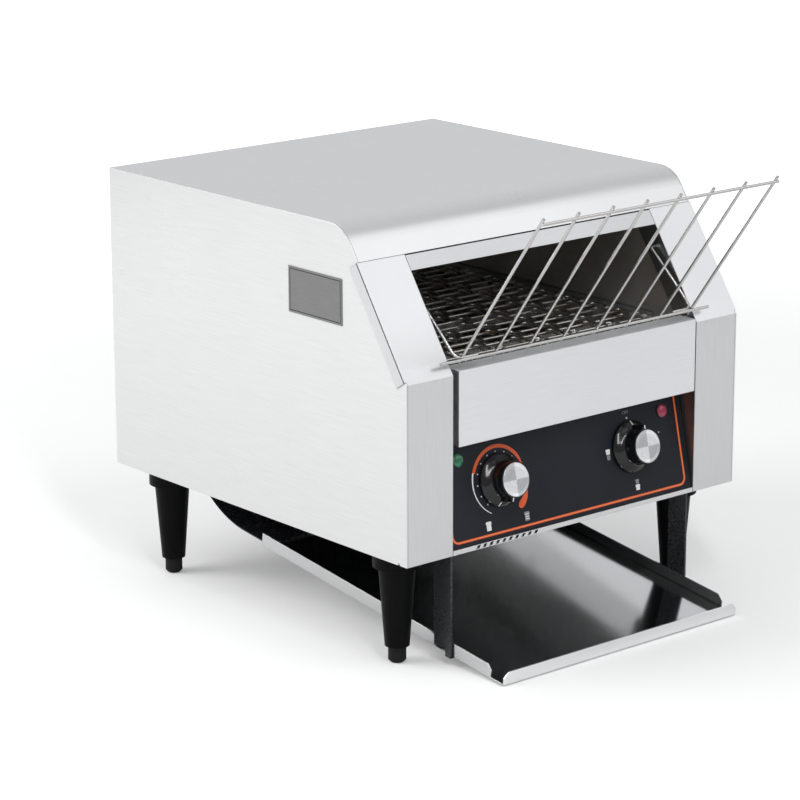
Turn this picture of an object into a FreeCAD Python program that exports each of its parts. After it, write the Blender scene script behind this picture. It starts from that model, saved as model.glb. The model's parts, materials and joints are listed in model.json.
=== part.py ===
import FreeCAD, Part
import Sketcher
import math
import os
import re

# A countertop conveyor toaster. Millimetres, +Z up, the front faces -Y, +X is the right hand side
# seen from the front. The origin is on the counter, in the middle of the four feet.

SIZES = {
    # Housing: outside sizes and sheet
    "body_width": 396, "body_depth": 424, "body_height": 284, "leg_height": 103,
    "fold_rise": 160, "slope_angle": 33.8, "bend_radius": 34, "strip_width": 52,
    "seam_drop": 35.2, "sheet_gauge": 1.2, "seat_gap": 0.3, "run_fit": 0.06, "overrun": 3,
    "jamb_depth": 22, "lintel_height": 14.5, "lintel_return": 16, "seam_gap": 1.2,
    "lap_start": 3, "lap_depth": 12, "lap_gauge": 0.8, "notch_from_front": 9, "notch_width": 3,
    "notch_height": 2,
    # Front plate and the ledge over it
    "plate_lift": 97, "plate_height": 67, "plate_proud": 3, "plate_depth": 12, "plate_gap": 4,
    "ledge_depth": 17,
    # Control panel
    "panel_tilt_angle": 12.8, "panel_foot": 1, "panel_lift": 4.6, "panel_length": 100, "panel_gauge": 1.5,
    "control_up": 50, "speed_inset": 63.8, "selector_inset": 68.6, "lamp_up": 75.2,
    "power_inset": 20, "heating_inset": 25, "lamp_radius": 6, "lamp_proud": 3,
    "lamp_body": 20, "lamp_bezel": 1,
    # Sill with its vent slots
    "sill_depth": 22, "slot_width": 3.6, "slot_height": 3, "slot_pitch": 7.5, "slot_inset": 26.5,
    "slot_count": 10, "slot_lean": 2.2,
    # Base plate
    "shaft_depth": 79, "shaft_wall_height": 96,
    # Knobs, spindles and what they turn
    "skirt_radius": 23.8, "skirt_edge": 2.5, "dome_radius": 20.5, "dome_rise": 6.5, "grip_radius": 16,
    "grip_rise": 9, "knob_height": 22, "cap_radius": 15, "cap_height": 2, "cap_crown": 0.4,
    "nib_reach": 19.5, "nib_spread_angle": 36, "speed_heading_angle": 200, "selector_heading_angle": 0,
    "knob_gap": 0.8, "spindle_radius": 3, "spindle_depth": 14,
    "bushing_radius": 5, "bushing_length": 6, "regulator_radius": 15, "regulator_length": 14,
    "switch_width": 34, "switch_length": 26,
    # Name plate
    "name_width": 73, "name_height": 41, "name_from_front": 84, "name_drop": 47, "name_gauge": 0.5,
    # Legs and levelling feet
    "leg_inset": 29, "leg_from_front": 47.5, "leg_head_radius": 21.5, "leg_head_height": 15,
    "leg_top_radius": 16.5, "leg_foot_radius": 11, "foot_radius": 8, "foot_height": 15, "foot_chamfer": 2.5,
    "stem_radius": 5, "stem_height": 14, "stud_radius": 4, "stud_height": 11,
    "nut_radius": 7, "nut_height": 6,
    # Conveyor
    "pitch_radius": 22, "tooth_count": 8, "belt_rise": 161, "belt_front": 44, "belt_rear": 75,
    "wire_radius": 1.2, "belt_side": 15.5, "link_width": 8, "link_gauge": 2, "link_stagger": 12,
    "lane_count": 6,
    "gullet_gap": 0.35, "sprocket_tip": 1.1, "sprocket_width": 5,
    "shaft_radius": 6, "hub_radius": 10, "hub_width": 14,
    "bush_radius": 10, "bush_flange": 14, "bush_width": 8, "bush_flange_width": 2,
    "rail_reach": 20, "rail_depth": 16,
    # Chain drive
    "chain_pitch": 8, "chain_tooth_count": 12, "chain_run_count": 15, "roller_radius": 2.4, "roller_width": 5,
    "chain_plate": 0.8, "chain_plate_half": 3.4, "chain_gap": 17.3, "motor_drop": 91,
    "motor_radius": 28, "motor_length": 62, "gearbox_size": 60, "gearbox_length": 34,
    "motor_shaft_radius": 4, "motor_flange": 3,
    # Heaters
    "heater_radius": 5.5, "heater_rear": 136, "heater_first": 104, "heater_count": 3,
    "upper_drop": 48, "cap_ring_radius": 9, "cap_ring_width": 14,
    "reflector_fall": 32, "reflector_drop": 12, "reflector_front": 84, "reflector_rear": 52,
    "lower_shield_rise": 106,
    # Cooling fan and terminal block
    "fan_size": 80, "fan_depth": 25, "fan_across": -60, "fan_from_front": 160, "fan_bore": 37.5,
    "fan_hub_radius": 17, "blade_count": 7, "blade_gauge": 1.6, "blade_angle": 35, "strut_width": 5,
    "grille_slot": 4, "grille_pitch": 9, "block_width": 60, "block_depth": 18, "block_height": 22,
    "block_across": -15, "block_from_wall": 45,
    # Cord gland in the rear panel
    "gland_radius": 11, "gland_bore": 4.5, "gland_proud": 9, "gland_inset": 26, "gland_lift": 34,
    "gland_shank": 8,
    # Chute
    "chute_side": 7, "chute_radius": 110, "chute_rear": 24, "chute_rise": 90,
    "chute_fold": 4, "chute_flange": 15, "chute_lap": 7, "chute_clear": 1.4,
    # Collection tray
    "tray_side": 4, "tray_short": 87, "tray_wall": 11.7, "tray_slope_angle": 7.6,
    "tray_gauge": 1, "tray_front": -60, "tray_clear": 1.2, "tray_corner": 5, "tray_notch": 16,
    # Tray hangers
    "hanger_width": 22, "hanger_from_front": 5, "hanger_gauge": 2, "hanger_foot": 14,
    "hanger_lift": 15.7, "hanger_neck": 7,
    "cradle_width": 24, "cradle_across": 90, "cradle_reach": 22,
    # Wire rack
    "rack_wire": 1.5, "rack_side": 9.5, "rack_wire_count": 8, "rack_foot_y": 6, "rack_foot_lift": 12.3,
    "rack_lean_angle": 38.6, "rack_length": 170, "rack_lap": 13, "rack_tail": 7.5, "rack_horn": 4,
    "weld_share": 0.8,
    "arm_gap": 5, "pivot_drop": 32.7, "pivot_inset": 11.8,
    # Screws
    "screw_head": 3.5, "screw_rise": 1.2, "screw_inset": 12, "vent_width": 46, "vent_height": 4,
    "vent_pitch": 9, "vent_row_count": 7, "vent_across": 96, "vent_lift": 60, "screw_shank": 1.8,
}

FRONT = "-body_depth / 2"
REAR = "body_depth / 2"
BASE = "leg_height"
TOP = "(leg_height + body_height)"
FOLD = "(leg_height + fold_rise)"
SIDE = "body_width / 2"
JAMB = "(body_width / 2 - strip_width)"
SEAM = "((body_height - fold_rise) / cos(slope_angle) - seam_drop)"
BASE_REACH = "(body_depth - shaft_depth)"
TRAY_LENGTH = "(body_depth - tray_short)"

doc = FreeCAD.newDocument("conveyor_toaster")
sheet = doc.addObject("Spreadsheet::Sheet", "sizes")
for row, (name, value) in enumerate(SIZES.items(), 1):
    sheet.set("A%d" % row, name)
    sheet.set("B%d" % row, str(value))
    sheet.setAlias("B%d" % row, name)
doc.recompute()

nodes = {}


def size(name):
    """The sheet's value of one named size."""
    return float(sheet.get(name))


def bound(text):
    """An expression on the sheet, from words that name its sizes."""
    def word(match):
        return "sizes." + match.group() if match.group() in SIZES else match.group()
    return re.sub(r"[a-z][a-z_]*", word, text)


def node(name, thing):
    """Names a finished sub-part: the label is the name of its file."""
    thing.Label = name
    nodes[name] = thing
    return thing


def origin_plane(body, role):
    return [item for item in body.Origin.OriginFeatures if item.Role == role][0]


def side_span(side, inner, outer):
    """The low and high X of something that lies between two distances from the middle plane."""
    if side > 0:
        return inner, outer
    return "-(%s)" % outer, "-(%s)" % inner


def box(name, x, y, z):
    thing = doc.addObject("Part::Box", name)
    for axis, side, (low, high) in (("x", "Length", x), ("y", "Width", y), ("z", "Height", z)):
        thing.setExpression(side, bound("(%s) - (%s)" % (high, low)))
        thing.setExpression("Placement.Base." + axis, bound(low))
    return thing


def rod(name, axis, radius, low, high, across):
    """A cylinder along one axis, with its other two coordinates in X, Y, Z order."""
    thing = doc.addObject("Part::Cylinder", name)
    turn = {"x": ((0, 1, 0), 90), "y": ((1, 0, 0), -90), "z": ((0, 0, 1), 0)}[axis]
    thing.Placement = FreeCAD.Placement(FreeCAD.Vector(), FreeCAD.Rotation(FreeCAD.Vector(*turn[0]), turn[1]))
    thing.setExpression("Radius", bound(radius))
    thing.setExpression("Height", bound("(%s) - (%s)" % (high, low)))
    places = dict(zip([letter for letter in "xyz" if letter != axis], across))
    places[axis] = low
    for letter, place in places.items():
        thing.setExpression("Placement.Base." + letter, bound(place))
    return thing


def sketch_outline(body, role, points):
    """A closed outline through points, each held by two driven distances from the origin."""
    sketch = body.newObject("Sketcher::SketchObject", body.Name + "_sketch")
    sketch.AttachmentSupport = [(origin_plane(body, role), "")]
    sketch.MapMode = "FlatFace"
    count = len(points)
    for index in range(count):
        turn = 2 * math.pi * index / count
        following = 2 * math.pi * (index + 1) / count
        start = FreeCAD.Vector(math.cos(turn), math.sin(turn), 0)
        end = FreeCAD.Vector(math.cos(following), math.sin(following), 0)
        sketch.addGeometry(Part.LineSegment(start, end), False)
    for index in range(count):
        sketch.addConstraint(Sketcher.Constraint("Coincident", index, 2, (index + 1) % count, 1))
    for index, (across, up) in enumerate(points):
        for kind, place in (("DistanceX", across), ("DistanceY", up)):
            key = sketch.addConstraint(Sketcher.Constraint(kind, -1, 1, index, 1, 1.0))
            sketch.setExpression("Constraints[%d]" % key, bound(place))
    return sketch


def profile(name, role, points, low, high):
    """A body padded from an outline: YZ outlines run along X, XZ ones along Y, XY ones along Z."""
    body = doc.addObject("PartDesign::Body", name)
    sketch = sketch_outline(body, role, points)
    start = "-(%s)" % high if role == "XZ_Plane" else low
    sketch.setExpression("AttachmentOffset.Base.z", bound(start))
    pad = body.newObject("PartDesign::Pad", name + "_pad")
    pad.Profile = sketch
    pad.setExpression("Length", bound("(%s) - (%s)" % (high, low)))
    return body


def round_edges(body, radius, picks):
    """Rounds the edges of a body that picks accepts."""
    doc.recompute()
    tip = body.Tip
    names = ["Edge%d" % (index + 1) for index, edge in enumerate(tip.Shape.Edges) if picks(edge)]
    if not names:
        raise RuntimeError("no edge to round on " + body.Name)
    fillet = body.newObject("PartDesign::Fillet", body.Name + "_round")
    fillet.Base = (tip, names)
    fillet.setExpression("Radius", bound(radius))
    return fillet


def turned(name, points):
    """A body turned about Z from an outline of radius and height."""
    body = doc.addObject("PartDesign::Body", name)
    sketch = sketch_outline(body, "XZ_Plane", points)
    turn = body.newObject("PartDesign::Revolution", name + "_turn")
    turn.Profile = sketch
    turn.ReferenceAxis = (sketch, ["V_Axis"])
    turn.Angle = 360
    return body


def stand(thing, x, y, z):
    for letter, place in (("x", x), ("y", y), ("z", z)):
        thing.setExpression("Placement.Base." + letter, bound(place))
    return thing


def lean(thing, angle):
    """Tips a thing about the X direction through its own origin."""
    thing.Placement = FreeCAD.Placement(thing.Placement.Base, FreeCAD.Rotation(FreeCAD.Vector(1, 0, 0), 10))
    thing.setExpression("Placement.Rotation.Angle", bound(angle))
    return thing


def cut(name, base, tools):
    thing = doc.addObject("Part::Cut", name)
    thing.Base = base
    thing.Tool = tools[0] if len(tools) == 1 else fuse(name + "_tools", tools)
    return thing


def fuse(name, parts):
    thing = doc.addObject("Part::MultiFuse", name)
    thing.Shapes = parts
    return thing


def group(name, parts):
    thing = doc.addObject("Part::Compound", name)
    thing.Links = parts
    return thing


def solid_feature(name, shape):
    thing = doc.addObject("Part::Feature", name)
    thing.Shape = shape
    return thing


def on_slope(reach, inset):
    """A point on the sloping front: a distance up from the fold, and one into the body."""
    y = "%s + (%s) * sin(slope_angle) + (%s) * cos(slope_angle)" % (FRONT, reach, inset)
    z = "%s + (%s) * cos(slope_angle) - (%s) * sin(slope_angle)" % (FOLD, reach, inset)
    return y, z


def skin(inset):
    """The housing's side outline, moved inwards by one distance."""
    top_corner = "%s + (%s - (%s) - %s) * tan(slope_angle) + (%s) / cos(slope_angle)" % (
        FRONT, TOP, inset, FOLD, inset)
    return [
        ("%s + (%s)" % (FRONT, inset), "%s + (%s)" % (BASE, inset)),
        ("%s + (%s)" % (FRONT, inset), "%s - (%s) * tan(slope_angle / 2)" % (FOLD, inset)),
        (top_corner, "%s - (%s)" % (TOP, inset)),
        ("%s - (%s)" % (REAR, inset), "%s - (%s)" % (TOP, inset)),
        ("%s - (%s)" % (REAR, inset), "%s + (%s)" % (BASE, inset)),
    ]


def along_x(edge):
    direction = edge.Vertexes[-1].Point - edge.Vertexes[0].Point
    return direction.Length > 0 and abs(direction.x) > 0.999 * direction.Length


def top_bend(inset):
    """Picks the edge where the top meets the slope, on a skin moved inwards by inset."""
    rise = size("body_height") - size("fold_rise") - inset
    slope = math.radians(size("slope_angle"))
    y = -size("body_depth") / 2 + rise * math.tan(slope) + inset / math.cos(slope)
    z = size("leg_height") + size("body_height") - inset
    reach = size("sheet_gauge") / 4

    def picks(edge):
        middle = edge.BoundBox.Center
        return along_x(edge) and math.hypot(middle.y - y, middle.z - z) < reach
    return picks


# Housing skins
LEG_PLACES = [
    (side, end, "%d * (%s - leg_inset)" % (side, SIDE), "%d * (%s - leg_from_front)" % (end, REAR))
    for end in (-1, 1) for side in (-1, 1)
]


def side_panel(name, side):
    foot_corner, fold, *rest = skin("0")
    step = [on_slope("lap_start - seat_gap", "0"), on_slope("lap_start - seat_gap", "sheet_gauge"),
            on_slope(SEAM, "sheet_gauge"), on_slope(SEAM, "0")]
    body = profile(name + "_skin", "YZ_Plane", [foot_corner, fold] + step + rest,
                   *side_span(side, SIDE + " - sheet_gauge", SIDE))
    round_edges(body, "bend_radius", top_bend(0))
    hem = box(name + "_hem", side_span(side, JAMB, SIDE + " - sheet_gauge / 2"),
              (FRONT + " + sheet_gauge + seat_gap", REAR + " - sheet_gauge - seat_gap"),
              (BASE, BASE + " + sheet_gauge"))
    holes = [rod("%s_stud_hole_%d" % (name, end), "z", "stud_radius + seat_gap", BASE + " - overrun",
                 BASE + " + overrun", (x, y)) for at, end, x, y in LEG_PLACES if at == side]
    notch = box(name + "_notch", side_span(side, SIDE + " - sheet_gauge - overrun", SIDE + " + overrun"),
                (FRONT + " + notch_from_front", FRONT + " + notch_from_front + notch_width"),
                (BASE + " - overrun", BASE + " + notch_height"))
    return node(name, cut(name, fuse(name + "_whole", [body, hem]), holes + [notch]))


side_panel("side_panel_left", -1)
side_panel("side_panel_right", 1)


def top_cover():
    outer = skin("0")
    inner = skin("sheet_gauge")
    points = [outer[3], outer[2], on_slope(SEAM, "0"), on_slope(SEAM, "sheet_gauge"),
              inner[2], (REAR, TOP + " - sheet_gauge")]
    reach = SIDE + " - sheet_gauge - seat_gap"
    body = profile("top_cover", "YZ_Plane", points, "-(%s)" % reach, reach)
    round_edges(body, "bend_radius", top_bend(0))
    round_edges(body, "bend_radius - sheet_gauge", top_bend(size("sheet_gauge")))
    return node("top_cover", body)


top_cover()


def front_frame(name, side):
    """The bent strip beside the opening, with a flange round the jamb and a lap over the side."""
    seam = SEAM + " - seat_gap"
    strip = profile(name + "_strip", "YZ_Plane", [
        (FRONT, BASE), (FRONT, FOLD), on_slope(seam, "0"), on_slope(seam, "sheet_gauge"),
        (FRONT + " + sheet_gauge", FOLD + " - sheet_gauge * tan(slope_angle / 2)"),
        (FRONT + " + sheet_gauge", BASE),
    ], *side_span(side, JAMB, SIDE + " - sheet_gauge - seat_gap"))
    flange = profile(name + "_flange", "YZ_Plane", [
        (FRONT, BASE + " + sheet_gauge + seat_gap"), (FRONT, FOLD), on_slope(seam, "0"),
        on_slope(seam, "jamb_depth"),
        (FRONT + " + jamb_depth", FOLD + " - jamb_depth * tan(slope_angle / 2)"),
        (FRONT + " + jamb_depth", BASE + " + sheet_gauge + seat_gap"),
    ], *side_span(side, JAMB, JAMB + " + sheet_gauge"))
    bridge = profile(name + "_bridge", "YZ_Plane", [
        on_slope("lap_start", "0"), on_slope(seam, "0"), on_slope(seam, "sheet_gauge"),
        on_slope("lap_start", "sheet_gauge"),
    ], *side_span(side, SIDE + " - strip_width / 2", SIDE + " + lap_gauge"))
    lap = profile(name + "_lap", "YZ_Plane", [
        on_slope("lap_start", "0"), on_slope(seam, "0"), on_slope(seam, "lap_depth"),
        on_slope("lap_start", "lap_depth"),
    ], *side_span(side, SIDE, SIDE + " + lap_gauge"))
    return fuse(name + "_whole", [strip, flange, bridge, lap])


def opening_lintel():
    low = on_slope(SEAM + " - seam_gap - lintel_height", "0")
    inner = on_slope(SEAM + " - seam_gap - lintel_height", "sheet_gauge")
    points = [
        on_slope(SEAM + " - seam_gap", "0"), low,
        (low[0] + " + lintel_return", low[1]),
        (low[0] + " + lintel_return", low[1] + " + sheet_gauge"),
        (inner[0] + " + sheet_gauge", low[1] + " + sheet_gauge"),
        on_slope(SEAM + " - seam_gap", "sheet_gauge"),
    ]
    reach = "(%s - seat_gap)" % JAMB
    return node("opening_lintel", profile("opening_lintel", "YZ_Plane", points, "-" + reach, reach))


opening_lintel()


def rear_panel():
    reach = SIDE + " - sheet_gauge - seat_gap"
    plate = box("rear_panel_plate", ("-(%s)" % reach, reach), (REAR + " - sheet_gauge", REAR),
                (BASE, TOP + " - sheet_gauge - seat_gap"))
    through = (REAR + " - sheet_gauge - overrun", REAR + " + overrun")
    place = (SIDE + " - gland_inset", BASE + " + gland_lift")
    tools = [rod("gland_hole", "y", "gland_shank", *through, place)]
    for side in (-1, 1):
        for row in range(int(size("vent_row_count"))):
            x = "%d * vent_across" % side
            z = "%s + vent_lift + %d * vent_pitch" % (BASE, row)
            tools.append(box("rear_vent_%d_%d" % (side + 1, row),
                             (x + " - vent_width / 2", x + " + vent_width / 2"), through,
                             (z, z + " + vent_height")))
    return node("rear_panel", cut("rear_panel", plate, tools))


rear_panel()


def fan_centre():
    return "fan_across", FRONT + " + fan_from_front"


def base_plate():
    """The black floor of the works, turned up at the rear as the front wall of the drop shaft."""
    reach = "(%s - seat_gap)" % JAMB
    x = ("-" + reach, reach)
    floor = box("base_floor", x, (FRONT + " + sill_depth + seat_gap", FRONT + " + " + BASE_REACH),
                (BASE, BASE + " + sheet_gauge"))
    wall = box("base_wall", x, (FRONT + " + %s - sheet_gauge" % BASE_REACH, FRONT + " + " + BASE_REACH),
               (BASE, BASE + " + shaft_wall_height"))
    across, along = fan_centre()
    tools = []
    for row in range(-3, 4):
        half = "sqrt(pow(fan_bore - grille_slot; 2) - pow(%d * grille_pitch; 2))" % row
        y = "%s + %d * grille_pitch" % (along, row)
        tools.append(box("fan_grille_%d" % (row + 3),
                         ("%s - %s" % (across, half), "%s + %s" % (across, half)),
                         (y + " - grille_slot / 2", y + " + grille_slot / 2"),
                         (BASE + " - overrun", BASE + " + overrun")))
    return node("base_plate", cut("base_plate", fuse("base_whole", [floor, wall]), tools))


base_plate()


def front_plate():
    reach = "(%s - plate_gap)" % JAMB
    low = BASE + " + plate_lift"
    high = low + " + plate_height"
    pan = box("plate_pan", ("-" + reach, reach),
              (FRONT + " - plate_proud", FRONT + " + plate_depth"), (low, high))
    hollow = box("plate_hollow", ("-%s + sheet_gauge" % reach, reach + " - sheet_gauge"),
                 (FRONT + " - plate_proud + sheet_gauge", FRONT + " + plate_depth + overrun"),
                 (low + " + sheet_gauge", high + " - sheet_gauge"))
    ledge = box("plate_ledge", ("-" + reach, reach), (FRONT, FRONT + " + ledge_depth"),
                (high + " - sheet_gauge", high))
    tabs = []
    for side in (-1, 1):
        tabs.append(box("plate_tab_%d" % (side + 1),
                        side_span(side, reach + " - sheet_gauge", JAMB),
                        (FRONT + " + plate_depth - sheet_gauge", FRONT + " + plate_depth"), (low, high)))
    shell = cut("plate_shell", pan, [hollow])
    return node("front_plate", fuse("front_plate", [shell, ledge] + tabs))


front_plate()


def vent_sill():
    reach = "(%s - seat_gap)" % JAMB
    lip = box("sill_lip", ("-" + reach, reach), (FRONT, FRONT + " + sheet_gauge"),
              (BASE, BASE + " + panel_lift - seat_gap"))
    shelf = box("sill_shelf", ("-" + reach, reach), (FRONT, FRONT + " + sill_depth"),
                (BASE, BASE + " + sheet_gauge"))
    slots = []
    low = BASE + " + sheet_gauge / 2"
    high = low + " + slot_height"
    for index in range(int(size("slot_count"))):
        x = "slot_inset - %s + %d * slot_pitch" % (JAMB, index)
        slots.append(profile("sill_slot_%d" % index, "XZ_Plane", [
            (x, low), (x + " + slot_width", low),
            (x + " + slot_width + slot_lean", high), (x + " + slot_lean", high),
        ], FRONT + " - overrun", FRONT + " + sheet_gauge + seat_gap"))
    return node("vent_sill", cut("vent_sill", fuse("sill_whole", [lip, shelf]), slots))


vent_sill()


# Control panel and what it carries
SPEED_ACROSS = "-(%s - speed_inset)" % JAMB
SELECTOR_ACROSS = "(%s - selector_inset)" % JAMB
POWER_ACROSS = "-(%s - power_inset)" % JAMB
HEATING_ACROSS = "(%s - heating_inset)" % JAMB


def on_panel(up, out):
    """A point on the leaning panel: a distance up its face, and one out of it to the front."""
    y = "%s + panel_foot + (%s) * sin(panel_tilt_angle) - (%s) * cos(panel_tilt_angle)" % (FRONT, up, out)
    z = "%s + panel_lift + (%s) * cos(panel_tilt_angle) + (%s) * sin(panel_tilt_angle)" % (BASE, up, out)
    return y, z


def face_panel(thing, across, up):
    """Sets a thing that was turned about Z on the panel's face, with its +Z out of the face."""
    y, z = on_panel(up, "0")
    lean(thing, "90 - panel_tilt_angle")
    return stand(thing, across, y, z)


def panel_rod(name, radius, low, high, across, up):
    """A cylinder square to the panel, between two distances out of its face."""
    thing = doc.addObject("Part::Cylinder", name)
    thing.setExpression("Radius", bound(radius))
    thing.setExpression("Height", bound("(%s) - (%s)" % (high, low)))
    lean(thing, "90 - panel_tilt_angle")
    y, z = on_panel(up, low)
    return stand(thing, across, y, z)


def control_panel():
    reach = "(%s - seat_gap)" % JAMB
    plate = profile("panel_plate", "YZ_Plane", [
        on_panel("0", "0"), on_panel("panel_length", "0"),
        on_panel("panel_length", "-panel_gauge"), on_panel("0", "-panel_gauge"),
    ], "-" + reach, reach)
    through = ("-panel_gauge - overrun", "overrun")
    holes = [
        panel_rod("speed_hole", "bushing_radius + seat_gap", *through, SPEED_ACROSS, "control_up"),
        panel_rod("selector_hole", "bushing_radius + seat_gap", *through, SELECTOR_ACROSS, "control_up"),
        panel_rod("power_hole", "lamp_radius", *through, POWER_ACROSS, "lamp_up"),
        panel_rod("heating_hole", "lamp_radius", *through, HEATING_ACROSS, "lamp_up"),
    ]
    return node("control_panel", cut("control_panel", plate, holes))


control_panel()


def knob(name, across, heading):
    """A knob with a domed skirt and a grip that comes to a nib at its pointer, and its bright disc."""
    crown = "knob_gap + knob_height"
    body = turned(name + "_body", [
        ("spindle_radius", "knob_gap"), ("skirt_radius", "knob_gap"),
        ("skirt_radius", "knob_gap + skirt_edge"), ("dome_radius", "knob_gap + dome_rise"),
        ("grip_radius", "knob_gap + grip_rise"), ("grip_radius", crown), ("cap_radius", crown),
        ("cap_radius", crown + " - cap_height"), ("spindle_radius", crown + " - cap_height"),
    ])
    flank = "(grip_radius * cos(nib_spread_angle))"
    nib = profile(name + "_nib", "XY_Plane", [
        ("nib_reach * sin(%s)" % heading, "nib_reach * cos(%s)" % heading),
        ("grip_radius * sin(%s + nib_spread_angle)" % heading,
         "grip_radius * cos(%s + nib_spread_angle)" % heading),
        (flank + " * sin(%s)" % heading, flank + " * cos(%s)" % heading),
        ("grip_radius * sin(%s - nib_spread_angle)" % heading,
         "grip_radius * cos(%s - nib_spread_angle)" % heading),
    ], "knob_gap + skirt_edge", crown + " - cap_height / 2")
    recess = rod(name + "_recess", "z", "cap_radius",
                 crown + " - cap_height", crown + " + overrun", ("0", "0"))
    grip = cut(name, fuse(name + "_whole", [body, nib]), [recess])
    node(name, face_panel(grip, across, "control_up"))
    disc = turned(name + "_cap", [
        ("0", crown + " - cap_height"), ("cap_radius", crown + " - cap_height"), ("cap_radius", crown),
        ("cap_radius - knob_gap", crown + " + cap_crown"), ("0", crown + " + cap_crown"),
    ])
    node(name + "_cap", face_panel(disc, across, "control_up"))


def spindle(name, across):
    tip = "knob_gap + knob_height - cap_height"
    node(name, panel_rod(name, "spindle_radius", "-spindle_depth", tip, across, "control_up"))


def control_body(name, across, is_switch):
    """The part behind the panel that a spindle turns, held by its bushing through the panel."""
    bushing = panel_rod(name + "_bushing", "bushing_radius", "-panel_gauge - bushing_length", "knob_gap / 2",
                        across, "control_up")
    front = "-panel_gauge - seat_gap"
    if is_switch:
        block = doc.addObject("Part::Box", name + "_case")
        lengths = {"Length": "switch_width", "Width": "switch_width", "Height": "switch_length"}
        for side, length in lengths.items():
            block.setExpression(side, bound(length))
        lean(block, "90 - panel_tilt_angle")
        y, z = on_panel("control_up - switch_width / 2", front + " - switch_length")
        stand(block, "%s - switch_width / 2" % across, y, z)
    else:
        block = panel_rod(name + "_case", "regulator_radius", front + " - regulator_length", front,
                          across, "control_up")
    bore = panel_rod(name + "_bore", "spindle_radius + run_fit", "-spindle_depth - seat_gap", "overrun",
                     across, "control_up")
    node(name, cut(name, fuse(name + "_whole", [bushing, block]), [bore]))


knob("speed_knob", SPEED_ACROSS, "speed_heading_angle")
spindle("speed_spindle", SPEED_ACROSS)
control_body("speed_regulator", SPEED_ACROSS, False)
knob("selector_knob", SELECTOR_ACROSS, "selector_heading_angle")
spindle("selector_spindle", SELECTOR_ACROSS)
control_body("selector_switch", SELECTOR_ACROSS, True)


def lamp(name, across):
    lens = turned(name, [
        ("0", "-lamp_body"), ("lamp_radius - seat_gap", "-lamp_body"), ("lamp_radius - seat_gap", "0"),
        ("lamp_radius + lamp_bezel", "0"), ("lamp_radius + lamp_bezel", "lamp_bezel"),
        ("lamp_radius - lamp_bezel", "lamp_proud"), ("0", "lamp_proud"),
    ])
    node(name, face_panel(lens, across, "lamp_up"))


lamp("power_lamp", POWER_ACROSS)
lamp("heating_lamp", HEATING_ACROSS)


def nameplate():
    """A bare plate on the left side panel."""
    low = FRONT + " + name_from_front"
    rise = TOP + " - name_drop - name_height"
    node("nameplate", box("nameplate", ("-(%s) - name_gauge" % SIDE, "-(%s)" % SIDE),
                          (low, low + " + name_width"), (rise, rise + " + name_height")))


nameplate()


# Inner walls, with the holes that carry the shafts, the heaters and the rack
BELT_Z = "(leg_height + belt_rise - wire_radius - pitch_radius)"
BELT_PITCH = "(2 * pitch_radius * sin(180 / tooth_count))"
BELT_RUNS = "floor((body_depth - belt_front - belt_rear) / %s)" % BELT_PITCH
REAR_SHAFT_Y = "(%s + belt_front + %s * %s)" % (FRONT, BELT_RUNS, BELT_PITCH)
FRONT_SHAFT_Y = "(%s + belt_front)" % FRONT
WALL_IN = "(%s + sheet_gauge + seat_gap)" % JAMB
WALL_OUT = "(%s + sheet_gauge)" % WALL_IN
CHAIN_PLANE = "(%s + chain_gap)" % WALL_OUT
CHAIN_SPAN = "(chain_run_count * chain_pitch)"
MOTOR_Y = "(%s - sqrt(pow(%s; 2) - pow(motor_drop; 2)))" % (REAR_SHAFT_Y, CHAIN_SPAN)
MOTOR_Z = "(%s - motor_drop)" % BELT_Z
PIVOT = on_slope(SEAM + " - pivot_drop", "pivot_inset")
BELT_HALF = "(%s - belt_side)" % WALL_IN


def heater_places():
    places = []
    for index in range(int(size("heater_count"))):
        share = "%d / (heater_count - 1)" % index
        y = "%s + heater_first + (body_depth - heater_first - heater_rear) * %s" % (FRONT, share)
        places.append((index, y, TOP + " - upper_drop", BELT_Z))
    return places


def inner_wall(name, side):
    body = profile(name + "_plate", "YZ_Plane", skin("sheet_gauge + seat_gap"),
                   *side_span(side, WALL_IN, WALL_OUT))
    round_edges(body, "bend_radius - sheet_gauge - seat_gap",
                top_bend(size("sheet_gauge") + size("seat_gap")))
    through = side_span(side, WALL_IN + " - overrun", WALL_OUT + " + overrun")
    holes = [
        rod(name + "_rear_bush", "x", "bush_radius", *through, (REAR_SHAFT_Y, BELT_Z)),
        rod(name + "_front_bush", "x", "bush_radius", *through, (FRONT_SHAFT_Y, BELT_Z)),
        rod(name + "_pivot", "x", "rack_wire + run_fit", *through, PIVOT),
    ]
    for index, y, upper, lower in heater_places():
        holes.append(rod("%s_upper_%d" % (name, index), "x", "cap_ring_radius", *through, (y, upper)))
        holes.append(rod("%s_lower_%d" % (name, index), "x", "cap_ring_radius", *through, (y, lower)))
    if side > 0:
        holes.append(rod(name + "_motor", "x", "motor_shaft_radius + sheet_gauge", *through,
                         (MOTOR_Y, MOTOR_Z)))
    return node(name, cut(name, body, holes))


inner_wall("inner_wall_left", -1)
inner_wall("inner_wall_right", 1)


# The rack's pivots also run through the jamb flanges
for label, side in (("front_frame_left", -1), ("front_frame_right", 1)):
    pivot_hole = rod(label + "_pivot", "x", "rack_wire + run_fit",
                     *side_span(side, JAMB + " - overrun", JAMB + " + overrun"), PIVOT)
    node(label, cut(label, front_frame(label, side), [pivot_hole]))


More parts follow.
